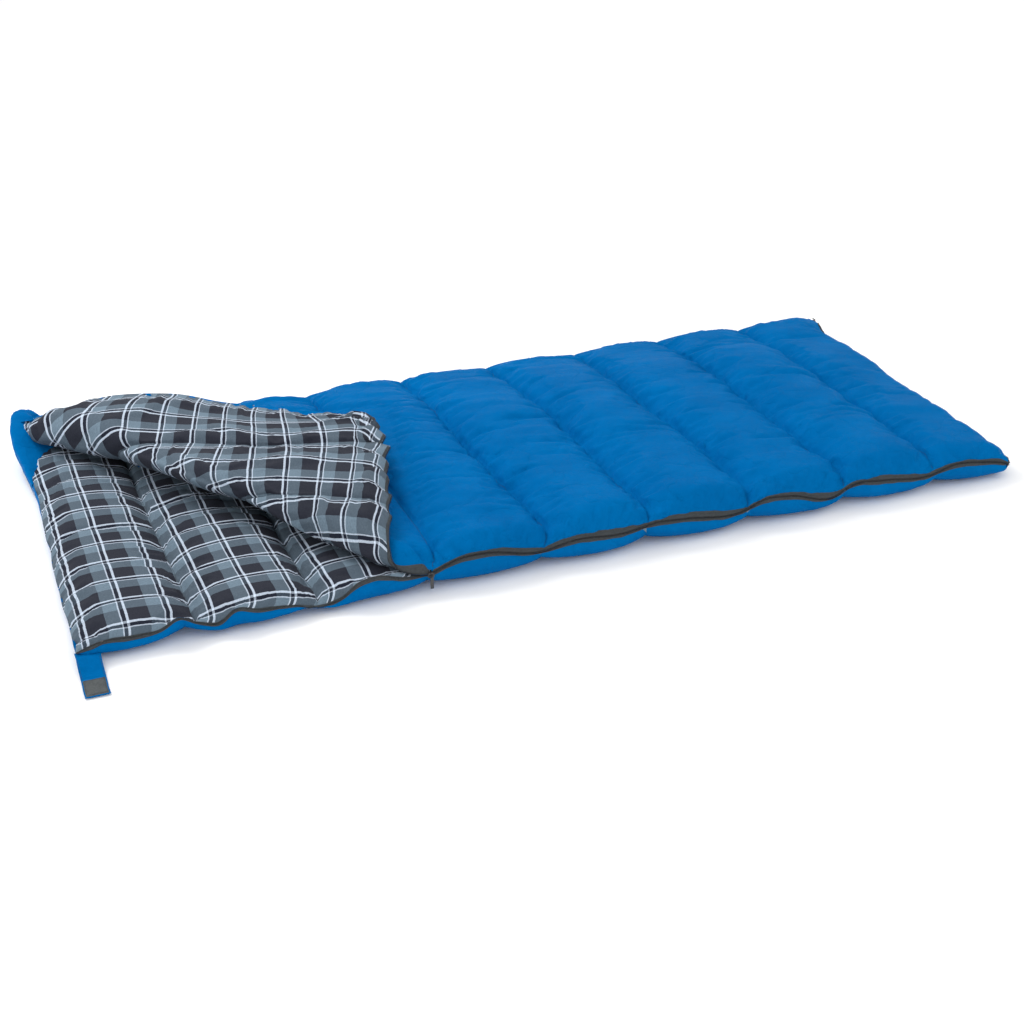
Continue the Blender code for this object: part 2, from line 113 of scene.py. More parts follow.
def lattice_noise(u, v, seed):
    """Smooth noise in -1..1 over two coordinates, one lump to a unit."""
    table = np.random.RandomState(seed).uniform(-1.0, 1.0, (NOISE_CELLS, NOISE_CELLS))
    u0, v0 = np.floor(u).astype(int), np.floor(v).astype(int)
    fu, fv = u - u0, v - v0
    fu, fv = fu * fu * (3 - 2 * fu), fv * fv * (3 - 2 * fv)
    low_u, high_u = u0 % NOISE_CELLS, (u0 + 1) % NOISE_CELLS
    low_v, high_v = v0 % NOISE_CELLS, (v0 + 1) % NOISE_CELLS
    near = mix(table[low_u, low_v], table[high_u, low_v], fu)
    far = mix(table[low_u, high_v], table[high_u, high_v], fu)
    return mix(near, far, fv)


def curve_through(stations, values, at):
    """A smooth curve through given stations, by cubic Hermite pieces."""
    stations, values = np.array(stations, float), np.array(values, float)
    slopes = np.gradient(values, stations)
    k = np.clip(np.searchsorted(stations, at) - 1, 0, len(stations) - 2)
    width = stations[k + 1] - stations[k]
    t = np.clip((at - stations[k]) / width, 0.0, 1.0)
    h00, h10 = 2 * t**3 - 3 * t**2 + 1, t**3 - 2 * t**2 + t
    h01, h11 = -2 * t**3 + 3 * t**2, t**3 - t**2
    return h00 * values[k] + h10 * width * slopes[k] + h01 * values[k + 1] + h11 * width * slopes[k + 1]


def normals_of(points):
    """Unit normals of a lattice of points, +Z side first."""
    du = np.gradient(points, axis=0)
    dv = np.gradient(points, axis=1)
    normal = np.cross(du, dv)
    return normal / np.maximum(np.linalg.norm(normal, axis=2, keepdims=True), 1e-9)


def round_edge(s, cloth, span, near, far):
    """Place along a line of cloth that turns over at both ends, and its rise 0..1 at each end.

    span is the line's length in plan. near and far are (reach, arc, start angle): how far the turn
    reaches in plan, its cloth length, and its first angle, 0 where the cloth leaves the edge upright."""
    reach_n, arc_n, _ = near
    reach_f, arc_f, start_f = far
    phi_n = np.clip(s / arc_n, 0.0, 1.0) * math.pi / 2
    phi_f = start_f + np.clip((cloth - s) / arc_f, 0.0, 1.0) * (math.pi / 2 - start_f)
    inner = np.clip((s - arc_n) / (cloth - arc_n - arc_f), 0.0, 1.0)
    flat = span - reach_n - reach_f * math.cos(start_f)
    place = reach_n * (1 - np.cos(phi_n)) + inner * flat + reach_f * np.cos(phi_f)
    return place, np.sin(phi_n), np.sin(phi_f)


def round_corner(x, y, corner_x, corner_y, radius):
    """Bends a square corner of a plan into a round one."""
    a = 1 - np.abs(corner_x - x) / radius
    b = 1 - np.abs(corner_y - y) / radius
    inside = (a > 0) & (b > 0)
    a2 = a * np.sqrt(np.maximum(1 - b * b / 2, 0))
    b2 = b * np.sqrt(np.maximum(1 - a * a / 2, 0))
    new_x = corner_x - np.sign(corner_x) * radius * (1 - a2)
    new_y = corner_y - np.sign(corner_y) * radius * (1 - b2)
    return np.where(inside, new_x, x), np.where(inside, new_y, y)


# ---------------------------------------------------------------- quilting
def channel_phase(i):
    """0..1 over each channel."""
    return (i % CELLS) / CELLS


def arch(i, power=0.6):
    """0 on a seam, 1 at a channel's crown, with a steep foot."""
    across = 2 * channel_phase(i) - 1
    return (1 - across**2) ** power


def seam_lean(x, y):
    """Seams stand a little further to the foot end on the near side."""
    along = np.cos(math.pi * x / LENGTH)
    return -0.020 * along * y / (WIDTH / 2) + 0.004 * along * np.sin(9 * y + 11 * x)


def seam_puckers(seed):
    """Short gathers that stand across each seam, and die out over the channel."""
    phase = channel_phase(I)
    side = np.where(phase < 0.5, 0, 1)
    seam = np.floor(I / CELLS) + side
    away = np.minimum(phase, 1 - phase) * PITCH
    reach = 0.020 + 0.014 * lattice_noise(CLOTH_Y / 0.045, seam * 7 + side * 3.3, seed + 1)
    wave = lattice_noise(CLOTH_Y / 0.013 + 31 * side, seam * 5.7 + 2.9 * side, seed)
    slow = lattice_noise(CLOTH_Y / 0.034 + 11 * side, seam * 3.1 + 1.9 * side, seed + 2)
    fade = np.exp(-away / reach) * (1 - np.exp(-away / 0.006))
    return fade * (0.6 * wave + 0.6 * slow)


def creases(cloth_x, cloth_y, seed):
    """Long shallow wrinkles that run along the bag, a little aslant."""
    slant = cloth_y + 0.22 * cloth_x + 0.03 * lattice_noise(cloth_x / 0.15, cloth_y / 0.2, seed + 5)
    fine = lattice_noise(cloth_x / 0.11, slant / 0.022, seed)
    broad = lattice_noise(cloth_x / 0.16, slant / 0.06, seed + 1)
    patch = 0.5 + 0.5 * lattice_noise(cloth_x / 0.17, cloth_y / 0.12, seed + 2)
    return (0.55 * fine + 0.8 * broad) * (0.25 + patch)


def edge_gathers(along, away, seed, pitch=0.016):
    """Gathers that stand across a sewn edge."""
    wave = lattice_noise(along / pitch, ZERO + seed * 1.7, seed)
    slow = lattice_noise(along / (2.6 * pitch), ZERO + seed * 2.3, seed + 3)
    fade = np.exp(-away / 0.030) * (1 - np.exp(-away / 0.007))
    return (wave + 0.8 * slow) * fade


# ---------------------------------------------------------------- the zip's height along the bag
def zip_height_shut(x):
    """Height of the closed zip: low at seams and quick to rise after them."""
    stations = [3, 3.25, 3.5, 4, 4.35, 4.8, 5.15, 5.4, 6, 6.25, 6.5, 7, 7.15, 7.5, 8, 8.35, 8.6, 8.82, 9]
    heights = [0.039, 0.058, 0.060, 0.040, 0.050, 0.044, 0.053, 0.050, 0.040, 0.058, 0.054, 0.034, 0.050,
               0.048, 0.037, 0.052, 0.046, 0.038, 0.027]
    return curve_through(stations, heights, (x + LENGTH / 2) / PITCH)


def zip_height_open(x):
    """Height of the lower zip half along the open part."""
    stations = [0, 0.22, 0.5, 0.72, 0.84, 1.0, 1.18, 1.30, 1.5, 1.8, 2.0, 2.2, 2.36, 2.5, 2.75, 3.0]
    heights = [0.022, 0.034, 0.031, 0.037, 0.052, 0.034, 0.025, 0.046, 0.036, 0.030, 0.018, 0.024, 0.050,
               0.056, 0.042, 0.039]
    return curve_through(stations, heights, (x + LENGTH / 2) / PITCH)


def lower_zip_height(x):
    """Height of the lower zip half over its whole length."""
    return np.where(x < SLIDER_X, zip_height_open(x), zip_height_shut(x))


def foot_height(y):
    """Height of the zip round the foot end."""
    wave = lattice_noise(y / 0.11 + 3, y * 0, 71)
    near = smooth(-WIDTH / 2, -WIDTH / 2 + 0.06, y)
    middle = mix(0.025 + 0.005 * wave, 0.040, smooth(0.30, 0.37, y))
    return mix(0.027, middle, near)


# ---------------------------------------------------------------- plan of the shut bag
NEAR = (0.050, 0.066, 0.0)
FAR_REACH = 0.060
FAR_START = math.radians(40)
FAR = (FAR_REACH, 0.052, FAR_START)
FOOT = (0.050, 0.066, 0.0)
HEAD_FLAT = (0.001, 0.004, 0.0)
FOOT_SIDE_X = LENGTH / 2
SPINE_Y = WIDTH / 2 - 0.005
SPINE_ROW_Y = SPINE_Y - FAR_REACH * (1 - math.cos(FAR_START))
FOOT_CORNER = 0.022
FAR_CORNER = 0.020


def round_foot(x, y):
    """Rounds both corners of the foot end."""
    x, y = round_corner(x, y, FOOT_SIDE_X, -WIDTH / 2, FOOT_CORNER)
    return round_corner(x, y, FOOT_SIDE_X, SPINE_ROW_Y, FAR_CORNER)


def far_bulge(i):
    """How far the closed side stands out, less at seams."""
    return 0.010 * arch(i, 0.8) - 0.006


def corner_swell(u):
    """How far the closed side swells out beside the folded corner's end."""
    return 0.034 * smooth(0.0, 0.035, u) * smooth(0.20, 0.05, u)


def foot_wave(y):
    """The foot edge isn't straight: it stands in a little here and there."""
    wave = (0.006 * lattice_noise(y / 0.13 + 5, y * 0, 72) - 0.004) * smooth(0.37, 0.31, y)
    return wave * smooth(0.85 * LENGTH, LENGTH, CLOTH_X)


def top_plan():
    """Place in plan and rises of the upper shell's lattice points."""
    across, rise_near, rise_far = round_edge(CLOTH_Y, WIDTH, SPINE_ROW_Y + WIDTH / 2, NEAR, FAR)
    along, _, rise_foot = round_edge(CLOTH_X, LENGTH, LENGTH, HEAD_FLAT, FOOT)
    x = -LENGTH / 2 + along
    y = -WIDTH / 2 + across
    return x, y, rise_near, rise_far, rise_foot


def fall_of_loft(x, y):
    """How much lower the quilt stands towards the closed side and towards the foot end."""
    side = 0.031 * smooth(0.12, 0.40, y) * smooth(-LENGTH / 2 + 0.06, -LENGTH / 2 + 0.24, x)
    end = (0.020 + 0.014 * smooth(-0.28, -0.02, y)) * smooth(0.66, 0.93, x)
    return np.minimum(side + end, 0.039)


def edge_height(rises_heights):
    """Mean of the edges' heights, each weighted by how close its edge is."""
    total, weight = 0.0, 1e-9
    for rise, height in rises_heights:
        total = total + (1 - rise) * height
        weight = weight + (1 - rise)
    return total / weight


def shut_edge_height(x, y, near, far, foot):
    """Height of the upper quilt's sewn edges."""
    return edge_height([(near, zip_height_shut(x)), (far, EQUATOR), (foot, foot_height(y))])


def top_shell_points():
    """The upper shell, from the folded corner's crease to the foot end."""
    x, y, near, far, foot = top_plan()
    wave = 0.0035 * lattice_noise(x / 0.21 + 5, y / 0.16, 11) + 0.0025 * lattice_noise(x / 0.07, y / 0.09, 12)
    fall = fall_of_loft(x, y)
    crown = TOP_CROWN + wave - fall
    seam = TOP_SEAM + 0.004 * lattice_noise(I // CELLS + 0.5 * y / 0.1, y / 0.06, 13) - 0.62 * fall
    height = mix(seam, crown, arch(I))
    base = shut_edge_height(x, y, near, far, foot)
    z = base + (height - base) * near * foot * far
    inside = near * foot
    z = z + 0.0066 * seam_puckers(21) * inside * far
    z = z + 0.0052 * creases(CLOTH_X, CLOTH_Y, 31) * inside * arch(I)
    z = z + 0.0055 * edge_gathers(CLOTH_X, CLOTH_Y, 41)
    z = z + 0.0050 * edge_gathers(CLOTH_Y, LENGTH - CLOTH_X, 43)
    z = z + 0.0030 * edge_gathers(CLOTH_X, WIDTH - CLOTH_Y, 44)
    x = x + seam_lean(x, y) * inside + foot_wave(y)
    y = y + (far_bulge(I) + corner_swell(CLOTH_X)) * smooth(0.80 * WIDTH, WIDTH, CLOTH_Y)
    x, y = round_foot(x, y)
    points = np.stack([x, y, z], axis=2)
    # pressed flat under the folded corner, down to the hinge's height
    under = smooth(-0.05, 0.02, depth_of_cover(x, y)) * (J > 0)
    cap = FOLD_Z - 0.0025
    points[:, :, 2] = np.where(z > cap, mix(z, cap, under), z)
    return points


def fold_coordinates(x, y):
    """Distance along the fold line from the slider, and across it towards the near head corner."""
    dx, dy = x - SLIDER_X, y + WIDTH / 2
    c = dx * FOLD_ALONG[0] + dy * FOLD_ALONG[1]
    q = -(dx * FOLD_ACROSS[0] + dy * FOLD_ACROSS[1])
    return c, q


def depth_of_cover(x, y):
    """Positive where the folded corner lies over the upper quilt."""
    c, q = fold_coordinates(x, y)
    along_zip = c * FOLD_ACROSS[0] / FOLD_ACROSS[1] * 0.80
    along_head = (FOLD_LENGTH - c) * FOLD_ACROSS[1] / FOLD_ACROSS[0] * 0.95
    return np.minimum(along_zip, along_head) + q


# ---------------------------------------------------------------- the folded corner
def fold_place(c, p, z):
    """World point from the distance along the fold line, across it over the bag, and height."""
    x = SLIDER_X + c * FOLD_ALONG[0] + p * FOLD_ACROSS[0]
    y = -WIDTH / 2 + c * FOLD_ALONG[1] + p * FOLD_ACROSS[1]
    return np.stack([x, y, z], axis=-1)


FLAP_C, FLAP_Q = fold_coordinates(-LENGTH / 2 + CLOTH_X, -WIDTH / 2 + CLOTH_Y)
FROM_ZIP = CLOTH_Y
FROM_HEAD = CLOTH_X


def crease_height(c):
    """Height of the fold's inner line: it falls to the zip at the slider."""
    return mix(ZIP_Z, FOLD_Z, np.sin(np.clip(c / 0.06, 0.0, 1.0) * math.pi / 2))


def turn_start(c):
    """Cloth distance from the fold line at which the liner starts to turn up."""
    return curve_through([0.0, 0.057, 0.07, 0.085, 0.10, 0.14, 1.1],
                         [0.045, 0.043, 0.020, -0.008, -0.020, -0.045, -0.045], c)


def turn_length(c):
    """Cloth length of the liner's turn round the fold."""
    return mix(0.145, 0.111, smooth(0.45, 0.72, c))


def roll_centre(c):
    """Where the middle of the roll lies across the fold line."""
    return curve_through([0.0, 0.057, 0.085, 0.12, 0.52, 0.66, 0.80, 0.94, 1.052, 1.1],
                         [-0.045, -0.026, -0.018, -0.012, -0.010, 0.010, 0.030, 0.024, -0.010, -0.010], c)


HEAD_SHIFT = np.array([
    (0.385, 0.000), (0.450, -0.028), (0.600, -0.042), (0.700, -0.016), (0.800, 0.026),
    (0.920, 0.048), (0.990, 0.020), (1.052, 0.000),
])


def edge_share(c, q):
    """0 on the fold line and 1 at the corner's free edges."""
    ratio = FOLD_ACROSS[0] / FOLD_ACROSS[1]
    reach = np.minimum(np.maximum(c, 0) * ratio, np.maximum(FOLD_LENGTH - c, 0) / ratio)
    return np.clip(q / np.maximum(reach, 1e-6), 0, 1)


def head_shift(c, q):
    """How much further over the bag the corner lies towards its head edge than it would lie flat."""
    shift = curve_through(HEAD_SHIFT[:, 0], HEAD_SHIFT[:, 1], np.maximum(c, HEAD_SHIFT[0, 0]))
    return shift * smooth(0.2, 1.0, edge_share(c, q))


def flap_across(c, q):
    """Where the flat of the corner lies across the fold."""
    flat = (q - turn_start(c) - turn_length(c)) * mix(1.0, 0.90, smooth(0.30, 0.50, q))
    return roll_centre(c) + flat + head_shift(c, q)


def liner_thickness(c, q, puff):
    """Distance of the liner from the fold's middle plane, at its free edges and elsewhere."""
    rise_zip = np.sin(np.clip(FROM_ZIP / 0.055, 0, 1) * math.pi / 2)
    rise_head = np.sin(np.clip(FROM_HEAD / 0.055, 0, 1) * math.pi / 2)
    edge = mix(0.036, 0.020, smooth(0.05, 0.12, c)) - 0.010 * smooth(0.42, 0.51, q)
    edge = edge + 0.012 * smooth(0.68, 0.82, c) * smooth(0.98, 0.90, c)
    return edge + (puff - edge) * rise_zip * rise_head


# The zip edge of the folded corner: distance from the slider, then along, across and height
FREE_EDGE = np.array([
    (0.000, 0.000, 0.000, 0.0390),
    (0.020, 0.008, -0.015, 0.0420),
    (0.045, 0.027, -0.028, 0.0455),
    (0.075, 0.047, -0.036, 0.0530),
    (0.100, 0.060, -0.035, 0.0680),
    (0.120, 0.070, -0.026, 0.0850),
    (0.150, 0.090, 0.003, 0.1030),
    (0.200, 0.121, 0.049, 0.1130),
    (0.300, 0.181, 0.128, 0.1200),
    (0.364, 0.220, 0.178, 0.1220),
    (0.430, 0.260, 0.230, 0.1220),
    (0.500, 0.302, 0.268, 0.1190),
    (0.600, 0.361, 0.322, 0.1110),
    (0.635, 0.383, 0.346, 0.1040),
])


def scallop_cusp(e):
    """1 at the points of the gathered zip edge's scallops, and 0 midway between them."""
    phase = e / 0.060 + 0.35 * lattice_noise(e / 0.11, e * 0 + 2.2, 66)
    return 1 - np.abs(np.sin(math.pi * phase)) ** 0.8


def free_edge_points():
    """World points of the corner's zip edge, one for each column up to the slider."""
    e = (OPENING - np.arange(COLUMNS + 1) * STEP_X)
    c, p, z = (curve_through(FREE_EDGE[:, 0], FREE_EDGE[:, k], e) for k in (1, 2, 3))
    ruffle = smooth(0.12, 0.17, e)
    ruffle = ruffle * (0.7 + 0.9 * smooth(0.30, 0.42, e))
    scallop = 0.017 * scallop_cusp(e) - 0.006 + 0.003 * lattice_noise(e / 0.021, e * 0 + 4.4, 65)
    lift = 0.006 * scallop_cusp(e) + 0.003 * lattice_noise(e / 0.018, e * 0 + 7.7, 67)
    return fold_place(c, p + scallop * ruffle, z + lift * ruffle)


def pull_to_free_edge(points, reach):
    """Moves the corner's zip edge to its own line, and the cloth near it along with it."""
    pull = free_edge_points() - points[:, 0]
    pull[3 * CELLS:] = 0.0
    fade = smooth(reach, 0.0, FROM_ZIP) * (I < 3 * CELLS)
    return points + pull[:, None, :] * fade[..., None]


def upper_liner_points():
    """The whole upper liner: under the upper quilt, round the roll and over the folded corner."""
    c, q = FLAP_C, FLAP_Q
    lump = lattice_noise(CLOTH_X / 0.16, CLOTH_Y / 0.13, 51)
    ridge = 0.008 * smooth(0.68, 0.80, c) * smooth(1.02, 0.94, c)
    dip = 0.014 * smooth(0.22, 0.05, FROM_HEAD) * smooth(0.80, 0.66, c)
    puff = mix(0.025 + ridge - 0.4 * dip, 0.048 + 0.004 * lump + ridge - dip, arch(I, 0.55))
    puff = puff + 0.0038 * seam_puckers(61) + 0.0022 * creases(CLOTH_Y, CLOTH_X, 62)
    t = liner_thickness(c, q, np.minimum(puff, 0.0595))
    t = t + 0.0080 * edge_gathers(CLOTH_X, FROM_ZIP, 63, 0.018)
    from_slider = np.maximum(OPENING - CLOTH_X, 0.0)
    hem = np.exp(-FROM_ZIP / 0.035) * (1 - np.exp(-FROM_ZIP / 0.010)) * smooth(0.14, 0.30, from_slider)
    t = t + 0.010 * (scallop_cusp(from_slider) - 0.4) * hem
    t = t + (0.0070 + 0.005 * smooth(0.80, 0.95, c)) * edge_gathers(CLOTH_Y, FROM_HEAD, 64, 0.018)
    ending = smooth(0.955, 1.045, c)
    t = t * (1 - 0.45 * ending)
    axis = np.maximum(crease_height(c), 0.078)
    start, centre = turn_start(c), roll_centre(c)
    low = np.minimum(t, axis - LINER_UNDER)
    angle = np.clip((q - start) / turn_length(c), 0, 1) * math.pi
    p = centre - t * np.sin(angle) + np.maximum(start - q, 0) + head_shift(c, q)
    z = axis - np.where(angle < math.pi / 2, low, t) * np.cos(angle)
    over = q > start + turn_length(c)
    p = np.where(over, flap_across(c, q), p)
    z = np.where(over, axis + t, z)
    folded = fold_place(c, p, z)
    folded[..., 0] += 0.012 * ending
    folded[..., 1] -= 0.010 * ending

    x, y, near, far, foot = top_plan()
    under = LINER_UNDER - 0.002 * arch(I) - 0.3 * fall_of_loft(x, y)
    base = shut_edge_height(x, y, near, far, foot)
    z_flat = mix(base, under, np.minimum(np.minimum(near, foot), far))
    y_flat = np.minimum(y, SPINE_ROW_Y - 0.004)
    x_flat = x + seam_lean(x, y) * near * foot + foot_wave(y)
    x_flat, y_flat = round_corner(x_flat, y_flat, FOOT_SIDE_X, -WIDTH / 2, FOOT_CORNER)
    flat = np.stack([x_flat, y_flat, z_flat], axis=2)
    share = smooth(-0.075, -0.030, q) * smooth(-0.02, 0.03, c + 0.3 * q)
    share = np.where(q >= -1e-6, 1.0, share)[..., None]
    return pull_to_free_edge(mix(flat, folded, share), 0.13)


def flap_shell_points(liner):
    """The corner's shell, inside the fold, from the crease out to the liner's edge."""
    c, q = FLAP_C, FLAP_Q
    points = liner.copy()
    share = edge_share(c, q)
    reach = q / np.maximum(share, 1e-6)
    crease = crease_height(c)
    p = mix(0.0 * c, np.maximum(flap_across(c, reach), -0.02), share)
    loft = 0.020 * np.clip(1 - FROM_ZIP / 0.05, 0, 1) ** 2
    loft = np.maximum(loft, 0.020 * np.clip(1 - FROM_HEAD / 0.05, 0, 1) ** 2)
    z = crease + 0.0015 + loft + 0.002 * arch(I)
    body = fold_place(c, p, z)
    body[..., :2] = pull_to_free_edge(body, 0.10)[..., :2]
    edge = np.maximum(np.clip(1 - FROM_ZIP / 0.022, 0, 1), np.clip(1 - FROM_HEAD / 0.022, 0, 1)) ** 0.7
    wide = mix(body, liner, edge[..., None])
    # beside the slider the shell runs straight from the crease to its edge, a little puffed
    crease_row = np.maximum(FOLD - I, 1e-6)
    straight = np.clip(J / crease_row, 0, 1)[..., None]
    on_crease = np.clip(crease_row, 0, ROWS).astype(int)
    along = c[np.minimum(I, COLUMNS), on_crease]
    crease_point = fold_place(along, 0.0 * along, crease_height(along))
    narrow = mix(liner[:, :1], crease_point, straight)
    narrow[..., 2] += 0.010 * (4 * straight * (1 - straight))[..., 0] * smooth(0.0, 0.04, c)
    mixed = mix(narrow, wide, smooth(0.13, 0.22, OPENING - CLOTH_X)[..., None])
    flap = I + J <= FOLD
    points[flap] = mixed[flap]
    return points


# ---------------------------------------------------------------- the bottom quilt
BOTTOM_EDGE = (0.034, 0.044, 0.0)
TIGHT_EDGE = (0.030, 0.040, 0.0)


def head_height(y):
    """Height of the bottom quilt's sewn edge along the head end."""
    wave = 0.003 * lattice_noise(y / 0.07, y * 0, 81)
    return 0.016 + 0.018 * smooth(-0.15, 0.30, y) + wave


def head_inset(y):
    """How far the sewn edge stands in from the head end."""
    inset_y = 0.001 + 0.006 * smooth(-0.20, 0.15, y) + 0.002 * (1 + lattice_noise(y / 0.05 + 9, y * 0, 82))
    return inset_y * smooth(0.09, 0.0, CLOTH_X)


def bottom_liner_points():
    """The bottom quilt's lining, from the head end to the foot end."""
    span = SPINE_ROW_Y + WIDTH / 2 - 0.004
    across, near, far = round_edge(CLOTH_Y, WIDTH, span, BOTTOM_EDGE, TIGHT_EDGE)
    along, head, foot = round_edge(CLOTH_X, LENGTH, LENGTH, TIGHT_EDGE, TIGHT_EDGE)
    x, y = -LENGTH / 2 + along, -WIDTH / 2 + across
    opened = smooth(0.02, -0.10, -fold_coordinates(x, y)[1])
    crown = mix(BOTTOM_CROWN_SHUT, BOTTOM_CROWN_OPEN, opened)
    crown = crown + 0.003 * lattice_noise(x / 0.15, y / 0.11, 91)
    seam = BOTTOM_SEAM + 0.002 * lattice_noise(I // CELLS + y / 0.09, y / 0.05, 92)
    height = mix(seam, crown, arch(I, 0.55))
    base = edge_height([
        (near, lower_zip_height(x)), (head, head_height(y)), (foot, foot_height(y)), (far, EQUATOR),
    ])
    inside = near * head * foot * far
    z = base + (height - base) * inside
    z = z + 0.0060 * seam_puckers(93) * inside
    z = z + 0.0030 * creases(CLOTH_X, CLOTH_Y, 94) * inside * arch(I)
    z = z + 0.0060 * edge_gathers(CLOTH_X, CLOTH_Y, 95, 0.020)
    z = z + 0.0070 * edge_gathers(CLOTH_Y, CLOTH_X, 96, 0.020)
    x = x + seam_lean(x, y) * near * head * foot
    x = x + head_inset(y) + foot_wave(y)
    x, y = round_foot(x, y)
    return np.stack([x, y, z], axis=2)


SIDE_CLOTH = 0.072
SPINE_CLOTH = 0.055
TUCK = 0.042


def tucked(s, bulge):
    """A side of the bottom shell: from the sewn edge, out, down and in under the bag."""
    t = np.clip(s / SIDE_CLOTH, 0.0, 1.0)
    b0, b1, b2, b3 = (1 - t) ** 3, 3 * t * (1 - t) ** 2, 3 * t * t * (1 - t), t**3
    inwards = b1 * -bulge + b2 * -0.8 * bulge + b3 * TUCK
    rise = b0 + 0.80 * b1 + 0.02 * b2
    return inwards, rise, t


def bottom_shell_points():
    """The bottom shell: the underside, and the sides up to the zip, the head edge and the spine."""
    s_near, s_far = CLOTH_Y, WIDTH - CLOTH_Y
    s_head, s_foot = CLOTH_X, LENGTH - CLOTH_X
    arched = arch(I, 0.8)
    near_in, near_rise, near_t = tucked(s_near, -0.006 + 0.022 * arched)
    plan_y = -WIDTH / 2 + CLOTH_Y
    head_in, head_rise, head_t = tucked(s_head, -0.010 + 0.014 * smooth(-0.10, 0.20, plan_y))
    foot_in, foot_rise, foot_t = tucked(s_foot, 0.005)
    far_t = np.clip(s_far / SPINE_CLOTH, 0.0, 1.0)
    psi = -FAR_START - far_t * (math.pi / 2 - FAR_START)
    spine_centre = SPINE_Y - FAR_REACH
    share_x = np.clip((s_head - SIDE_CLOTH) / (LENGTH - 2 * SIDE_CLOTH), 0, 1)
    x = -LENGTH / 2 + head_in + share_x * (LENGTH - 2 * TUCK)
    x = x - np.where(s_foot < SIDE_CLOTH, foot_in - TUCK, 0)
    far_y = spine_centre + FAR_REACH * np.cos(psi)
    share_y = np.clip((s_near - SIDE_CLOTH) / (WIDTH - SIDE_CLOTH - SPINE_CLOTH), 0, 1)
    y_inner = -WIDTH / 2 + near_in + share_y * (spine_centre + WIDTH / 2 - TUCK)
    y = np.where(s_far < SPINE_CLOTH, far_y + (far_bulge(I) + corner_swell(CLOTH_X)) * (1 - far_t), y_inner)
    edge = edge_height([
        (near_t, lower_zip_height(x)), (head_t, head_height(y)), (foot_t, foot_height(y)),
    ])
    side = 1 - (1 - near_rise) * (1 - head_rise) * (1 - foot_rise)
    spine_z = EQUATOR * (1 + np.sin(psi))
    inside = near_t * head_t * foot_t * far_t
    under = 0.005 * (1 - arched) * inside + 0.007 * (1 - arched) * smooth(0.3, 0.7, near_t) * (near_t < 1)
    z = edge * side + under
    z = np.where(s_far < SPINE_CLOTH, np.maximum(z, spine_z), z)
    y = y - 0.0035 * edge_gathers(CLOTH_X, s_near, 97) * (near_t < 1)
    x = x + seam_lean(x, y) * near_t * head_t * foot_t
    x = x + head_inset(y) + foot_wave(y)
    x, y = round_foot(x, y)
    return np.stack([x, y, np.maximum(z, FLOOR_GAP)], axis=2)


# ---------------------------------------------------------------- meshes from the lattice
COLLECTION = bpy.context.scene.collection

# ranges of i + j that the sheets are cut to
FIRST, LAST = -9, 10**6
EVERYTHING = (FIRST, LAST)
ROLL_OUT = FOLD + CELLS // 2
ROLL_IN = FOLD - 5 * CELLS // 6


def mesh_of(name, points, faces):
    """One smooth object from points and faces."""
    mesh = bpy.data.meshes.new(name)
    mesh.from_pydata(points, [], faces)
    mesh.shade_smooth()
    obj = bpy.data.objects.new(name, mesh)
    COLLECTION.objects.link(obj)
    return obj


def lattice_mesh(name, points, span, flip=False):
    """A mesh of the cells whose i + j lies in span = (low, high), cut along the fold's direction."""
    low, high = span
    rows = points.shape[1]
    a = np.arange(COLUMNS)[:, None] * rows + np.arange(ROWS)[None, :]
    corner_sum = (I + J)[:-1, :-1]
    base = a[(corner_sum >= low) & (corner_sum + 2 <= high)]
    quads = np.stack([base, base + rows, base + rows + 1, base + 1], axis=1)
    upper = a[corner_sum == low - 1]
    upper_cuts = np.stack([upper + rows, upper + rows + 1, upper + 1], axis=1)
    lower = a[corner_sum == high - 1]
    lower_cuts = np.stack([lower, lower + rows, lower + 1], axis=1)
    triangles = np.concatenate([upper_cuts, lower_cuts])
    if flip:
        quads, triangles = quads[:, ::-1], triangles[:, ::-1]
    used = np.unique(np.concatenate([quads.ravel(), triangles.ravel()]))
    remap = np.zeros(points.shape[0] * rows, int)
    remap[used] = np.arange(len(used))
    faces = remap[quads].tolist() + remap[triangles].tolist()
    obj = mesh_of(name, points.reshape(-1, 3)[used].tolist(), faces)
    cloth = np.stack([CLOTH_X.ravel(), CLOTH_Y.ravel()], axis=1)[used]
    loops = np.zeros(len(obj.data.loops), int)
    obj.data.loops.foreach_get("vertex_index", loops)
    layer = obj.data.uv_layers.new(name="cloth")
    layer.data.foreach_set("uv", cloth[loops].astype(np.float32).ravel())
    return obj


def grid_faces(rows, columns, flip=False):
    """Quads of a grid of points stored row by row."""
    a = (np.arange(rows - 1)[:, None] * columns + np.arange(columns - 1)[None, :]).ravel()
    faces = np.stack([a, a + 1, a + columns + 1, a + columns], axis=1)
    return faces[:, ::-1] if flip else faces


def grid_mesh(name, points, flip=False):
    """One object from a grid of points."""
    return mesh_of(name, points.reshape(-1, 3).tolist(), grid_faces(*points.shape[:2], flip).tolist())


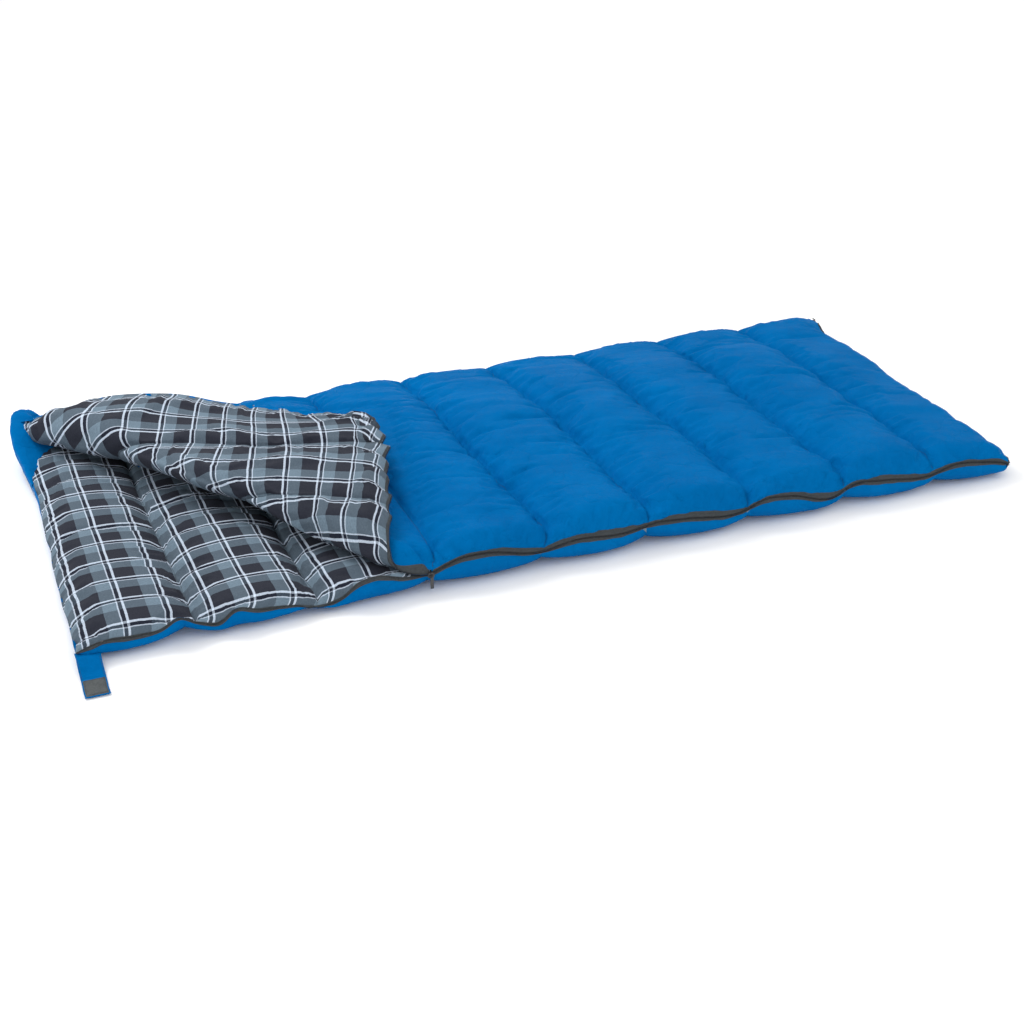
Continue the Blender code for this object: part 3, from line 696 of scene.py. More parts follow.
# ---------------------------------------------------------------- materials
class Look:
    """A material in the making: its shader, and helpers that add nodes before it."""

    def __init__(self, name):
        self.material = bpy.data.materials.new(name)
        self.material.use_nodes = True
        self.nodes = self.material.node_tree.nodes

    def feed(self, value, socket):
        """Sets a socket to a number or a colour, or joins a node's output to it."""
        if isinstance(value, (int, float, tuple)):
            socket.default_value = value
        else:
            self.material.node_tree.links.new(value, socket)

    def shade(self, name, value):
        """Feeds one of the shader's inputs."""
        self.feed(value, self.nodes["Principled BSDF"].inputs[name])

    def add(self, kind, **inputs):
        """Outputs of a new node, with its inputs fed."""
        made = self.nodes.new(kind)
        for name, value in inputs.items():
            self.feed(value, made.inputs[name])
        return made.outputs

    def place(self):
        """Place on the piece, in metres."""
        return self.add("ShaderNodeTexCoord")["Object"]

    def noise(self, vector, scale, detail=3.0, rough=0.5):
        """A cloudy pattern."""
        made = self.add("ShaderNodeTexNoise", Scale=scale, Detail=detail, Roughness=rough, Vector=vector)
        return made["Fac"]

    def wave(self, vector, scale, distortion=0.0):
        """A pattern of bands."""
        return self.add("ShaderNodeTexWave", Scale=scale, Distortion=distortion, Vector=vector)["Fac"]

    def math(self, operation, *values):
        """The result of a sum over numbers and outputs."""
        made = self.nodes.new("ShaderNodeMath")
        made.operation = operation
        for value, socket in zip(values, made.inputs):
            self.feed(value, socket)
        return made.outputs[0]

    def mixed(self, factor, a, b, kind="MIX"):
        """Two colours mixed."""
        made = self.nodes.new("ShaderNodeMix")
        made.data_type = "RGBA"
        made.blend_type = kind
        for name, value in (("Factor", factor), ("A", a), ("B", b)):
            self.feed(value, made.inputs[name])
        return made.outputs["Result"]

    def ramp(self, factor, stops, interpolation="LINEAR"):
        """Outputs of a colour ramp; stops are (position, colour with alpha)."""
        made = self.nodes.new("ShaderNodeValToRGB")
        made.color_ramp.interpolation = interpolation
        elements = made.color_ramp.elements
        elements.remove(elements[-1])
        elements[0].position, elements[0].color = stops[0]
        for position, colour in stops[1:]:
            elements.new(position).color = colour
        self.feed(factor, made.inputs["Fac"])
        return made.outputs

    def tone(self, factor, dark_at, dark, light_at, light):
        """The base colour, from dark to light over the factor."""
        stops = [(dark_at, (*dark, 1.0)), (light_at, (*light, 1.0))]
        self.shade("Base Color", self.ramp(factor, stops)["Color"])

    def bump(self, height, strength, distance):
        """Relief on the surface, from a height."""
        normal = self.add("ShaderNodeBump", Strength=strength, Distance=distance, Height=height)["Normal"]
        self.shade("Normal", normal)


def shell_material(name, colour, dark):
    """Polyester taffeta: fine plain weave, satin gloss, slight mottling and scuffed highlights."""
    look = Look(name)
    place = look.place()
    mottle = look.noise(place, 9.0, 4.0)
    fine = look.noise(place, 60.0)
    tone = look.ramp(mottle, [(0.30, (*dark, 1.0)), (0.70, (*colour, 1.0))])["Color"]
    grain = look.math("MULTIPLY_ADD", fine, 0.16, 0.92)
    grey = look.add("ShaderNodeCombineColor", Red=grain, Green=grain, Blue=grain)[0]
    look.shade("Base Color", look.mixed(1.0, tone, grey, "MULTIPLY"))
    look.shade("Roughness", look.math("MULTIPLY_ADD", fine, 0.16, 0.40))
    look.shade("Specular IOR Level", 0.008)
    look.shade("Specular Tint", (0.05, 0.50, 1.0, 1.0))
    weave = look.wave(place, 420.0, 0.6)
    wrinkle = look.noise(place, 28.0, 5.0, 0.6)
    folds = look.noise(place, 13.0, 2.0)
    ridge = look.math("ABSOLUTE", look.math("MULTIPLY_ADD", folds, 2.0, -1.0))
    sharp = look.math("POWER", ridge, 0.45)
    both = look.math("MULTIPLY_ADD", weave, 0.04, wrinkle)
    both = look.math("MULTIPLY_ADD", sharp, 0.80, both)
    look.bump(both, 0.85, 0.0060)
    return look.material


PLAID_REPEAT = 0.070
TWILL_PITCH = 0.0022
CHARCOAL = (0.022, 0.025, 0.038)
SLATE = (0.160, 0.225, 0.285)
PALE = (0.66, 0.76, 0.90)
NAVY = (0.010, 0.014, 0.028)
LIGHT_COVER, HEAVY_COVER = 0.25, 0.85


def plaid_threads(look, coordinate):
    """Colour of one set of threads over its repeat; alpha holds how much it covers the other set."""
    turned = look.math("MULTIPLY", coordinate, -1.0 / PLAID_REPEAT)
    stops = [
        (0.0, (*CHARCOAL, LIGHT_COVER)), (0.485, (*PALE, HEAVY_COVER * 0.8)), (0.543, (*NAVY, HEAVY_COVER)),
        (0.635, (*PALE, HEAVY_COVER * 0.6)), (0.665, (*SLATE, LIGHT_COVER)),
    ]
    made = look.ramp(look.math("FRACT", turned), stops, "CONSTANT")
    return made["Color"], made["Alpha"]


def plaid_material(name):
    """Brushed flannel, woven in twill: charcoal ground, slate bands, and white and navy lines."""
    look = Look(name)
    uv_node = look.nodes.new("ShaderNodeUVMap")
    uv_node.uv_map = "cloth"
    cloth = uv_node.outputs["UV"]
    fuzz = look.noise(cloth, 700.0, 2.0)
    wobble = look.noise(cloth, 26.0, 2.0)
    parts = look.nodes.new("ShaderNodeSeparateXYZ")
    look.feed(cloth, parts.inputs[0])
    x, y = parts.outputs["X"], parts.outputs["Y"]
    shift = look.math("MULTIPLY_ADD", fuzz, 0.0012, -0.0006)
    shift = look.math("ADD", shift, look.math("MULTIPLY_ADD", wobble, 0.003, -0.0015))
    warp, warp_cover = plaid_threads(look, look.math("ADD", x, shift))
    weft, weft_cover = plaid_threads(look, look.math("ADD", y, shift))
    share = look.math("DIVIDE", weft_cover, look.math("ADD", warp_cover, weft_cover))
    diagonal = look.math("MULTIPLY", look.math("ADD", x, y), 2 * math.pi / TWILL_PITCH)
    twill = look.math("SINE", diagonal)
    share = look.math("MULTIPLY_ADD", twill, 0.10, share)
    heather = look.noise(cloth, 320.0)
    speck = look.ramp(heather, [(0.25, (0.80, 0.80, 0.82, 1)), (0.75, (1.16, 1.16, 1.14, 1))])["Color"]
    look.shade("Base Color", look.mixed(1.0, look.mixed(share, warp, weft), speck, "MULTIPLY"))
    look.shade("Roughness", 0.92)
    look.shade("Specular IOR Level", 0.15)
    look.shade("Sheen Weight", 0.025)
    look.shade("Sheen Roughness", 0.6)
    look.bump(look.math("MULTIPLY_ADD", twill, 0.25, fuzz), 0.5, 0.0012)
    return look.material


def woven_material(name, colour, light, scale):
    """Woven tape: a herringbone of two tones with a fine rib."""
    look = Look(name)
    place = look.place()
    rib = look.wave(place, scale, 1.2)
    both = look.math("MULTIPLY_ADD", rib, 0.5, look.noise(place, 240.0))
    look.tone(both, 0.35, colour, 0.95, light)
    look.shade("Roughness", 0.85)
    look.shade("Specular IOR Level", 0.3)
    look.bump(both, 0.6, 0.0006)
    return look.material


def metal_material(name):
    """Dark satin die-cast metal, a little worn on its edges."""
    look = Look(name)
    speck = look.noise(look.place(), 900.0, 4.0)
    look.tone(speck, 0.3, (0.045, 0.045, 0.048), 0.75, (0.13, 0.13, 0.13))
    look.shade("Metallic", 0.85)
    look.shade("Roughness", look.math("MULTIPLY_ADD", speck, 0.25, 0.28))
    look.bump(speck, 0.25, 0.0003)
    return look.material


def hook_material(name):
    """Hook-and-loop pile: dense little hooks in rows."""
    look = Look(name)
    place = look.place()
    cells = look.add("ShaderNodeTexVoronoi", Scale=620.0, Vector=place)["Distance"]
    both = look.math("MULTIPLY_ADD", cells, 0.7, look.noise(place, 70.0, 4.0))
    look.tone(both, 0.3, (0.025, 0.030, 0.034), 1.0, (0.085, 0.095, 0.098))
    look.shade("Roughness", 0.9)
    look.bump(both, 0.9, 0.0012)
    return look.material


def coil_material(name):
    """Satin nylon."""
    look = Look(name)
    speck = look.noise(look.place(), 300.0)
    look.tone(speck, 0.3, (0.016, 0.017, 0.019), 0.8, (0.050, 0.052, 0.056))
    look.shade("Roughness", look.math("MULTIPLY_ADD", speck, 0.2, 0.30))
    look.bump(speck, 0.2, 0.0002)
    return look.material


def thread_material(name, colour):
    """Twisted polyester thread."""
    look = Look(name)
    twist = look.wave(look.place(), 900.0)
    look.tone(twist, 0.2, tuple(0.6 * v for v in colour), 0.8, colour)
    look.shade("Roughness", 0.6)
    look.bump(twist, 0.5, 0.0003)
    return look.material


BLUE = (0.0003, 0.152, 0.440)
BLUE_DARK = (0.0003, 0.128, 0.385)
shell_blue = shell_material("shell_blue", BLUE, BLUE_DARK)
liner_plaid = plaid_material("liner_plaid")
zip_tape = woven_material("zip_tape", (0.026, 0.032, 0.036), (0.060, 0.068, 0.074), 260.0)
zip_coil = coil_material("zip_coil")
slider_metal = metal_material("slider_metal")
hook_pile = hook_material("hook_pile")
thread_blue = thread_material("thread_blue", (0.004, 0.060, 0.200))
thread_grey = thread_material("thread_grey", (0.050, 0.055, 0.062))


# ---------------------------------------------------------------- cloth simulation
CLOTH_FRAMES = 14
CLOTH_SETTINGS = {
    "quality": 4, "mass": 0.15, "tension_stiffness": 12.0, "compression_stiffness": 6.0,
    "shear_stiffness": 3.0, "bending_stiffness": 0.04, "tension_damping": 8.0, "compression_damping": 8.0,
    "air_damping": 4.0, "use_pressure": True, "vertex_group_mass": "sewn",
}


def inflate(points, held, pressure, slack, cap):
    """Blows the cloth up a little against its seams, with some slack, so that it gathers as cloth does.

    held is 0..1 for each lattice point: 1 where it is sewn down. No point moves further than cap."""
    blown = lattice_mesh("blown", points, EVERYTHING)
    group = blown.vertex_groups.new(name="sewn")
    weights = held.ravel()
    for level in (0.25, 0.5, 0.75, 1.0):
        chosen = np.nonzero(np.abs(weights - level) < 0.125)[0]
        group.add([int(k) for k in chosen], level, "REPLACE")
    modifier = blown.modifiers.new("cloth", "CLOTH")
    settings = modifier.settings
    for key, value in CLOTH_SETTINGS.items():
        setattr(settings, key, value)
    settings.uniform_pressure_force = pressure
    settings.shrink_min = -slack
    settings.shrink_max = -slack
    settings.effector_weights.gravity = 0.0
    modifier.collision_settings.use_collision = False
    scene = bpy.context.scene
    scene.frame_start, scene.frame_end = 1, CLOTH_FRAMES
    modifier.point_cache.frame_start, modifier.point_cache.frame_end = 1, CLOTH_FRAMES
    for step in range(1, CLOTH_FRAMES + 1):
        scene.frame_set(step)
    shape = blown.evaluated_get(bpy.context.evaluated_depsgraph_get())
    moved = np.zeros(len(shape.data.vertices) * 3, np.float32)
    shape.data.vertices.foreach_get("co", moved)
    moved = moved.reshape(points.shape).astype(float)
    bpy.data.objects.remove(blown)
    scene.frame_set(1)
    shift = moved - points
    length = np.maximum(np.linalg.norm(shift, axis=2, keepdims=True), 1e-9)
    return points + shift * np.minimum(1.0, cap / length)


def sewn_mask(also):
    """1 on the seams, along the sewn edges and where also holds."""
    border = np.minimum(np.minimum(I, COLUMNS - I), np.minimum(J, ROWS - J))
    held = np.where(I % CELLS == 0, 1.0, 0.0)
    held = np.maximum(held, np.choose(np.minimum(border, 3), [1.0, 1.0, 0.5, 0.0]))
    return np.where(also, 1.0, held)


def crisp_seams(points, side, seed, depth=0.0040, gather=0.0030):
    """Sinks the seam lines and adds the fine gathers that run into them."""
    phase = channel_phase(I)
    away = np.minimum(phase, 1 - phase) * PITCH
    seam = np.where((I == 0) | (I == COLUMNS), 0.0, np.exp(-away / 0.005))
    wave = lattice_noise(CLOTH_Y / 0.0105, np.floor(I / CELLS + 0.5) * 3.7 + (phase < 0.5) * 1.9, seed)
    gathers = wave * np.exp(-away / 0.016) * (1 - np.exp(-away / 0.004))
    inside = smooth(0.006, 0.03, np.minimum(CLOTH_Y, WIDTH - CLOTH_Y))
    shift = (gather * gathers - depth * seam) * inside
    return points + side * shift[..., None] * normals_of(points)


# ---------------------------------------------------------------- build the cloth
top_points = top_shell_points()
liner_points = upper_liner_points()
flap_points = flap_shell_points(liner_points)
bottom_points = bottom_liner_points()
under_points = bottom_shell_points()

# the upper shell ends on the fold's inner line, which the corner's shell shares
on_crease = I + J == FOLD
crease_line = fold_place(FLAP_C, ZERO, crease_height(FLAP_C))
for sheet_points in (top_points, flap_points):
    sheet_points[on_crease] = crease_line[on_crease]
near_crease = np.clip(1 - (I + J - FOLD) / 6.0, 0, 1) * (I + J >= FOLD)
start_row = fold_place(FLAP_C, -FLAP_Q, top_points[:, :, 2])
top_points = mix(top_points, start_row, (near_crease * smooth(1, 5, J))[..., None])

covered = (I + J <= FOLD + 2) | (depth_of_cover(top_points[..., 0], top_points[..., 1]) > -0.01)
beyond = I + J > FOLD + 8
top_points = inflate(top_points, sewn_mask(covered), 2.0, 0.04, 0.008)
bottom_points = inflate(bottom_points, sewn_mask(beyond), 1.5, 0.04, 0.007)
liner_points = inflate(liner_points, sewn_mask(beyond), 1.5, 0.018, 0.005)
top_points = np.where(covered[..., None], top_points, crisp_seams(top_points, 1, 151, 0.0065, 0.0042))
bottom_points = crisp_seams(bottom_points, 1, 152)
liner_points = np.where(beyond[..., None], liner_points, crisp_seams(liner_points, -1, 153, 0.0035, 0.0014))
above = np.maximum(liner_points[:, :, 2] - ROLL_TOP, 0.0)
liner_points[:, :, 2] -= above - ROLL_ROOM * (1 - np.exp(-above / ROLL_ROOM))


def blend_fold(obj):
    """Bakes the world place of a piece that goes round the fold into its mesh."""
    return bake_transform(obj)


def finish_piece(obj, material, body=None, replaced=()):
    """Gives a piece its material and slot, the CAD nodes it stands for and its body."""
    obj.data.materials.append(material)
    # the frame's own materials have the slots' names already, so Blender numbers these after a dot
    if replaced:
        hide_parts(*replaced)
    if body:
        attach(obj, body)
    return obj


def lining(name, points, span, body=None, replaced=(), flip=True):
    """A sheet of plaid lining."""
    return finish_piece(lattice_mesh(name, points, span, flip), liner_plaid, body, replaced)


def shell(name, points, span, body=None, replaced=(), flip=False):
    """A sheet of blue shell cloth."""
    return finish_piece(lattice_mesh(name, points, span, flip), shell_blue, body, replaced)


lining("bottom_liner_cloth", bottom_points, EVERYTHING, "bottom_quilt", ["bottom_liner"], False)
shell("bottom_shell_cloth", under_points, EVERYTHING, "bottom_quilt",
      ["bottom_shell", "bottom_filling"], True)
shell("top_shell_cloth", top_points, (FOLD, LAST), "top_quilt", ["top_shell", "top_filling"])
flap_fold_shell = shell("flap_shell_fold", flap_points, (ROLL_IN, FOLD))
shell("flap_shell_cloth", flap_points, (FIRST, ROLL_IN), "flap", ["flap_shell", "flap_filling"])
lining("top_liner_cloth", liner_points, (ROLL_OUT, LAST), "top_quilt", ["top_liner"])
roll_liner = lining("roll_liner_cloth", liner_points, (ROLL_IN, ROLL_OUT))
lining("flap_liner_cloth", liner_points, (FIRST, ROLL_IN), "flap", ["flap_liner"])
blend_fold(roll_liner)
blend_fold(flap_fold_shell)


# ---------------------------------------------------------------- the spine
def spine_rings():
    """The shell's turn at the closed side, between the two shells' far rows."""
    low, high = under_points[:, ROWS], top_points[:, ROWS]
    rings = []
    for t in np.linspace(0.0, 1.0, 13):
        psi = mix(-FAR_START, FAR_START, t)
        out = FAR_REACH * (math.cos(psi) - math.cos(FAR_START))
        ring = mix(low, high, t)
        ring[:, 1] += out * (0.75 + 0.35 * arch(np.arange(COLUMNS + 1), 0.8))
        rings.append(ring)
    return np.stack(rings, axis=1)


def corner_cap(columns=44, rows=28):
    """The shell bunched round the far head corner: it stands outside the fold's end and turns in over it."""
    s = np.linspace(0.0, 1.0, columns)[:, None]
    r = np.linspace(0.0, 1.4, rows)[None, :]
    stations = [0.0, 0.18, 0.32, 0.45, 0.60, 0.80, 1.0]
    x = curve_through(stations, [-0.870, -0.908, -0.934, -0.949, -0.953, -0.951, -0.946], s)
    y = curve_through(stations, [0.424, 0.434, 0.428, 0.408, 0.370, 0.299, 0.215], s)
    top = curve_through(stations, [0.040, 0.088, 0.101, 0.101, 0.088, 0.056, 0.030], s)
    bulge = curve_through(stations, [0.0, 0.006, 0.010, 0.012, 0.013, 0.009, 0.001], s)
    turn_in = curve_through(stations, [0.0, 0.016, 0.030, 0.034, 0.032, 0.020, 0.004], s)
    ahead = np.stack([np.gradient(x[:, 0]), np.gradient(y[:, 0])], axis=1)
    ahead /= np.linalg.norm(ahead, axis=1, keepdims=True)
    pucker = 0.0020 * lattice_noise(14 * s, 2.2 * r, 99) + 0.0016 * lattice_noise(31 * s, 3.1 * r, 98)
    out = bulge * np.sin(math.pi * np.minimum(r / 0.85, 1)) - turn_in * smooth(0.60, 1.15, r)
    out = out - 0.050 * smooth(0.85, 1.4, r) * np.sin(math.pi * s)
    out = out + pucker * np.sin(math.pi * s) * np.minimum(4 * r, 1)
    height = np.sin(math.pi / 2 * np.minimum(r / 0.74, 1)) - 0.35 * smooth(0.78, 1.4, r)
    z = 0.006 + (top - 0.006) * height + 0.6 * pucker * np.minimum(r, 1)
    return np.stack([x + ahead[:, 1:] * out, y - ahead[:, :1] * out, z], axis=2)


spine = grid_mesh("spine_cloth", spine_rings(), True)
finish_piece(spine, shell_blue, replaced=["spine_shell"])
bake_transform(spine)
cap = grid_mesh("spine_shell_corner", corner_cap(), True)
finish_piece(cap, shell_blue, "bottom_quilt")


# ---------------------------------------------------------------- trims that follow the cloth
TAPE_REACH = 0.0095
TAPE_LIFT = 0.0011
COIL_RADIUS = 0.0011
COIL_PITCH = 0.0022
WIRE_RADIUS = 0.00042
ZIP_END = 0.799


def between(points, a, b):
    """Points of a lattice at fractional places a and b along its two directions."""
    i, j = np.floor(a).astype(int), np.floor(b).astype(int)
    fi, fj = (a - i)[..., None], (b - j)[..., None]
    near = mix(points[i, j], points[i + 1, j], fi)
    far = mix(points[i, j + 1], points[i + 1, j + 1], fi)
    return mix(near, far, fj)


def sample(points, u, v):
    """Points of a lattice at cloth distances u from the head end and v from the zip side."""
    a = np.clip(np.asarray(u, float) / STEP_X, 0, COLUMNS - 1e-6)
    b = np.clip(np.asarray(v, float) / STEP_Y, 0, ROWS - 1e-6)
    return between(points, a, b)


class Surface:
    """A lattice of cloth with the side of it that shows: +1 for the side of its normals, -1 for the other."""

    def __init__(self, points, side):
        self.points = points
        self.normals = side * normals_of(points)

    def at(self, u, v, lift=0.0):
        return sample(self.points, u, v) + lift * sample(self.normals, u, v)

    def normal(self, u, v):
        found = sample(self.normals, u, v)
        return found / np.maximum(np.linalg.norm(found, axis=-1, keepdims=True), 1e-9)


top_side = Surface(top_points, 1)
under_side = Surface(under_points, -1)
bottom_lining = Surface(bottom_points, 1)
flap_side = Surface(flap_points, 1)
upper_lining = Surface(liner_points, -1)


def near_path(start, end):
    """Cloth distances along the zip side, from start to end."""
    u = np.arange(start, end + 1e-6, STEP_X)
    return u, 0.0 * u


def zip_path(start):
    """Cloth distances of the zip from start along the zip side, and then round the foot end."""
    u, v = near_path(start, LENGTH)
    round_v = np.arange(STEP_Y, ZIP_END, STEP_Y)
    return np.concatenate([u, 0 * round_v + LENGTH]), np.concatenate([v, round_v])


def inset(u, v, distance):
    """The path moved in from the cloth's edge."""
    return np.minimum(u, LENGTH - distance), np.maximum(v, distance)


def tape_strip(name, path, outer, lining_side=None, lining_reach=0.0, body=None, replaced=()):
    """Zip tape: from the shell side, over the sewn edge, to the lining side."""
    rows = [outer.at(*inset(*path, TAPE_REACH * part), TAPE_LIFT * lift)
            for part, lift in ((1.04, 0.1), (1.0, 1.0), (0.66, 1.0), (0.33, 1.0), (0.08, 1.0))]
    if lining_side is not None:
        rows += [lining_side.at(*inset(*path, lining_reach * part), TAPE_LIFT * lift)
                 for part, lift in ((0.1, 0.8), (0.5, 1.0), (0.95, 1.0), (1.0, 0.1))]
    return finish_piece(grid_mesh(name, np.stack(rows, axis=1)), zip_tape, body, replaced)


def unit(vectors):
    """The vectors, scaled to length 1."""
    return vectors / np.maximum(np.linalg.norm(vectors, axis=-1, keepdims=True), 1e-9)


def lengths_along(line):
    """Distance along a line at each of its points."""
    steps = np.linalg.norm(np.diff(line, axis=0), axis=1)
    return np.concatenate([[0.0], np.cumsum(steps)])


def along_line(line, lengths, at):
    """Points of a line at given distances along it."""
    return np.stack([np.interp(at, lengths, line[:, k]) for k in range(3)], axis=-1)


def coil_line(surface, path, rise):
    """The line of a coil on a sewn edge, raised or lowered to clear the coil that it meshes with."""
    line = surface.at(*path, TAPE_LIFT + 0.8 * COIL_RADIUS)
    line[:, 2] += rise
    return line, surface.normal(*path)


def coil(name, surface, path, rise, body=None, replaced=()):
    """A zip coil: a wire wound round the line."""
    line, normals = coil_line(surface, path, rise)
    lengths = lengths_along(line)
    turns = lengths[-1] / COIL_PITCH
    at = np.linspace(0.0, lengths[-1], int(turns * 7))
    centre = along_line(line, lengths, at)
    axis = unit(np.gradient(centre, axis=0))
    out = along_line(normals, lengths, at)
    out = unit(out - axis * np.sum(out * axis, axis=1, keepdims=True))
    side = np.cross(axis, out)
    angle = (at / COIL_PITCH * 2 * math.pi)[:, None]
    radial = np.cos(angle) * out + np.sin(angle) * side
    rings = []
    for turn in (0.0, 2.1, 4.2):
        reach = COIL_RADIUS + WIRE_RADIUS * math.cos(turn)
        rings.append(centre + reach * radial + WIRE_RADIUS * math.sin(turn) * axis)
    points = np.stack(rings, axis=1).reshape(-1, 3)
    a = np.arange(len(at) - 1) * 3
    faces = [np.stack([a + k, a + (k + 1) % 3, a + 3 + (k + 1) % 3, a + 3 + k], axis=1) for k in range(3)]
    wound = mesh_of(name, points.tolist(), np.concatenate(faces).tolist())
    return finish_piece(wound, zip_coil, body, replaced)


def stitches(name, lines, thread, body=None, replaced=(),
             pitch=0.0046, length=0.0036, width=0.0011, height=0.0007):
    """Lock stitches along lines, each a pair of arrays: points and the outward normals there."""
    points, faces, base = [], [], 0
    for line, normals in lines:
        lengths = lengths_along(line)
        starts = np.arange(0.5 * pitch, lengths[-1] - pitch, pitch)
        if len(starts) == 0:
            continue
        rows = []
        for part, rise in ((0.0, -0.3), (0.2, 1.0), (0.8, 1.0), (1.0, -0.3)):
            at = starts + part * length
            middle = along_line(line, lengths, at)
            tangent = unit(along_line(line, lengths, at + 0.001) - along_line(line, lengths, at - 0.001))
            out = unit(along_line(normals, lengths, at))
            side = np.cross(tangent, out) * width / 2
            rows += [middle - side, middle + out * rise * height, middle + side]
        block = np.stack(rows, axis=1)
        a = base + np.arange(len(starts)) * 12
        for span in range(3):
            for k in range(2):
                corner = a + 3 * span + k
                faces.append(np.stack([corner, corner + 3, corner + 4, corner + 1], axis=1))
        points.append(block.reshape(-1, 3))
        base += len(starts) * 12
    sewn = mesh_of(name, np.concatenate(points).tolist(), np.concatenate(faces).tolist())
    return finish_piece(sewn, thread, body, replaced)


def surface_line(surface, u, v, lift=0.0003):
    """Points and normals of a line on a surface."""
    return surface.at(u, v, lift), surface.normal(u, v)


def seam_line(surface, seam, start, end):
    """The line of a quilting seam between two cloth distances from the zip side."""
    v = np.arange(start, end, STEP_Y / 2)
    return surface_line(surface, 0 * v + seam * PITCH, v)


def pad_on(name, surface, low, high, thickness, cells=(14, 14)):
    """A patch with rounded edges on a surface, between two corners given in cloth distances."""
    u = np.linspace(low[0], high[0], cells[0])
    v = np.linspace(low[1], high[1], cells[1])
    grid_u, grid_v = np.meshgrid(u, v, indexing="ij")
    a = np.minimum(np.arange(cells[0]), np.arange(cells[0])[::-1])[:, None]
    b = np.minimum(np.arange(cells[1]), np.arange(cells[1])[::-1])[None, :]
    rise = np.where(np.minimum(a, b) == 0, -0.2, 1.0)
    tuft = 0.18 * lattice_noise(grid_u / 0.0035, grid_v / 0.0035, 17) * (rise > 0)
    points = sample(surface.points, grid_u, grid_v)
    points = points + (thickness * (rise + tuft))[..., None] * surface.normal(grid_u, grid_v)
    return grid_mesh(name, points)


# zip tapes and coils
lower_path = zip_path(0.006)
upper_path = zip_path(OPENING)
flap_path = near_path(0.006, ROLL_IN * STEP_X)
curl_path = near_path(ROLL_IN * STEP_X, OPENING)
coil_path = zip_path(LENGTH / 2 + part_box("lower_top_stop")[1].x)

lower_open = lower_path[0] < OPENING - 0.01
open_path = tuple(part[lower_open] for part in lower_path)
shut_path = tuple(part[np.nonzero(~lower_open)[0][0] - 1:] for part in lower_path)
LINING_REACH_OPEN, LINING_REACH_FLAP = 0.0045, 0.0065
tape_strip("lower_zip_tape_woven", shut_path, under_side, body="bottom_quilt", replaced=["lower_zip_tape"])
tape_strip("lower_zip_tape_open", open_path, under_side, bottom_lining, LINING_REACH_OPEN, "bottom_quilt")
tape_strip("upper_zip_tape_woven", upper_path, top_side, body="top_quilt", replaced=["upper_zip_tape"])
tape_strip("flap_zip_tape_woven", flap_path, flap_side, upper_lining, LINING_REACH_FLAP, "flap",
           ["flap_zip_tape"])
curl_tape = tape_strip("flap_zip_tape_curl", curl_path, flap_side, upper_lining, LINING_REACH_FLAP)
blend_fold(curl_tape)

COIL_APART = 0.0011
coil("lower_zip_coil_wound", under_side, coil_path, -COIL_APART, "bottom_quilt", ["lower_zip_coil"])
coil("upper_zip_coil_wound", top_side, upper_path, COIL_APART, "top_quilt", ["upper_zip_coil"])
coil("flap_zip_coil_wound", flap_side, flap_path, 0.0, "flap", ["flap_zip_coil"])
blend_fold(coil("flap_zip_coil_curl", flap_side, curl_path, 0.0))

# quilting and zip stitches
MARGIN = 0.014
SEAMS = range(1, CHANNELS)
CORNER_SEAMS = (1, 2)


def part_of_seam(seam, low, high):
    """Cloth distances between which a seam lies in a range of i + j."""
    shift = seam * CELLS * STEP_Y
    return max(low * STEP_Y - shift, MARGIN), min(high * STEP_Y - shift, WIDTH - MARGIN)


def names(prefix, seams):
    """Names of the CAD nodes of the quilting seams."""
    return [f"{prefix}_{seam}" for seam in seams]


top_seams = [seam_line(top_side, k, *part_of_seam(k, FOLD, LAST)) for k in SEAMS]
bottom_seams = [seam_line(bottom_lining, k, MARGIN, WIDTH - 0.05) for k in SEAMS]
under_seams = [seam_line(under_side, k, 0.05, WIDTH - 0.05) for k in SEAMS]
flap_seams = [seam_line(upper_lining, k, *part_of_seam(k, 0, ROLL_IN)) for k in CORNER_SEAMS]
curl_seams = [seam_line(upper_lining, k, *part_of_seam(k, ROLL_IN, ROLL_OUT)) for k in CORNER_SEAMS]

stitches("top_quilting_stitches", top_seams, thread_blue, "top_quilt", names("top_quilting", SEAMS))
stitches("bottom_quilting_stitches", bottom_seams, thread_grey, "bottom_quilt",
         names("bottom_quilting", SEAMS))
stitches("under_quilting_stitches", under_seams, thread_blue, "bottom_quilt")
stitches("flap_quilting_stitches", flap_seams, thread_grey, "flap", names("flap_quilting", CORNER_SEAMS))
blend_fold(stitches("curl_quilting_stitches", curl_seams, thread_grey))
for name, side, path, reach, body in (
    ("lower_tape_stitches", under_side, lower_path, 0.0066, "bottom_quilt"),
    ("upper_tape_stitches", top_side, upper_path, 0.0066, "top_quilt"),
    ("flap_tape_stitches", upper_lining, flap_path, 0.0048, "flap"),
):
    tape_seam = surface_line(side, *inset(*path, reach), TAPE_LIFT + 0.0003)
    stitches(name, [tape_seam], thread_grey, body, width=0.0008)


# ---------------------------------------------------------------- closure tab, patches, stops
STRAP_LOW, STRAP_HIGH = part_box("closure_strap")
HOOK_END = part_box("hook_patch")[1].y - STRAP_LOW.y
STRAP_THICK = 0.0013
STRAP_CELLS = (22, 60)
STRAP_STITCH = {"pitch": 0.0034, "length": 0.0026, "width": 0.0008, "height": 0.0005}


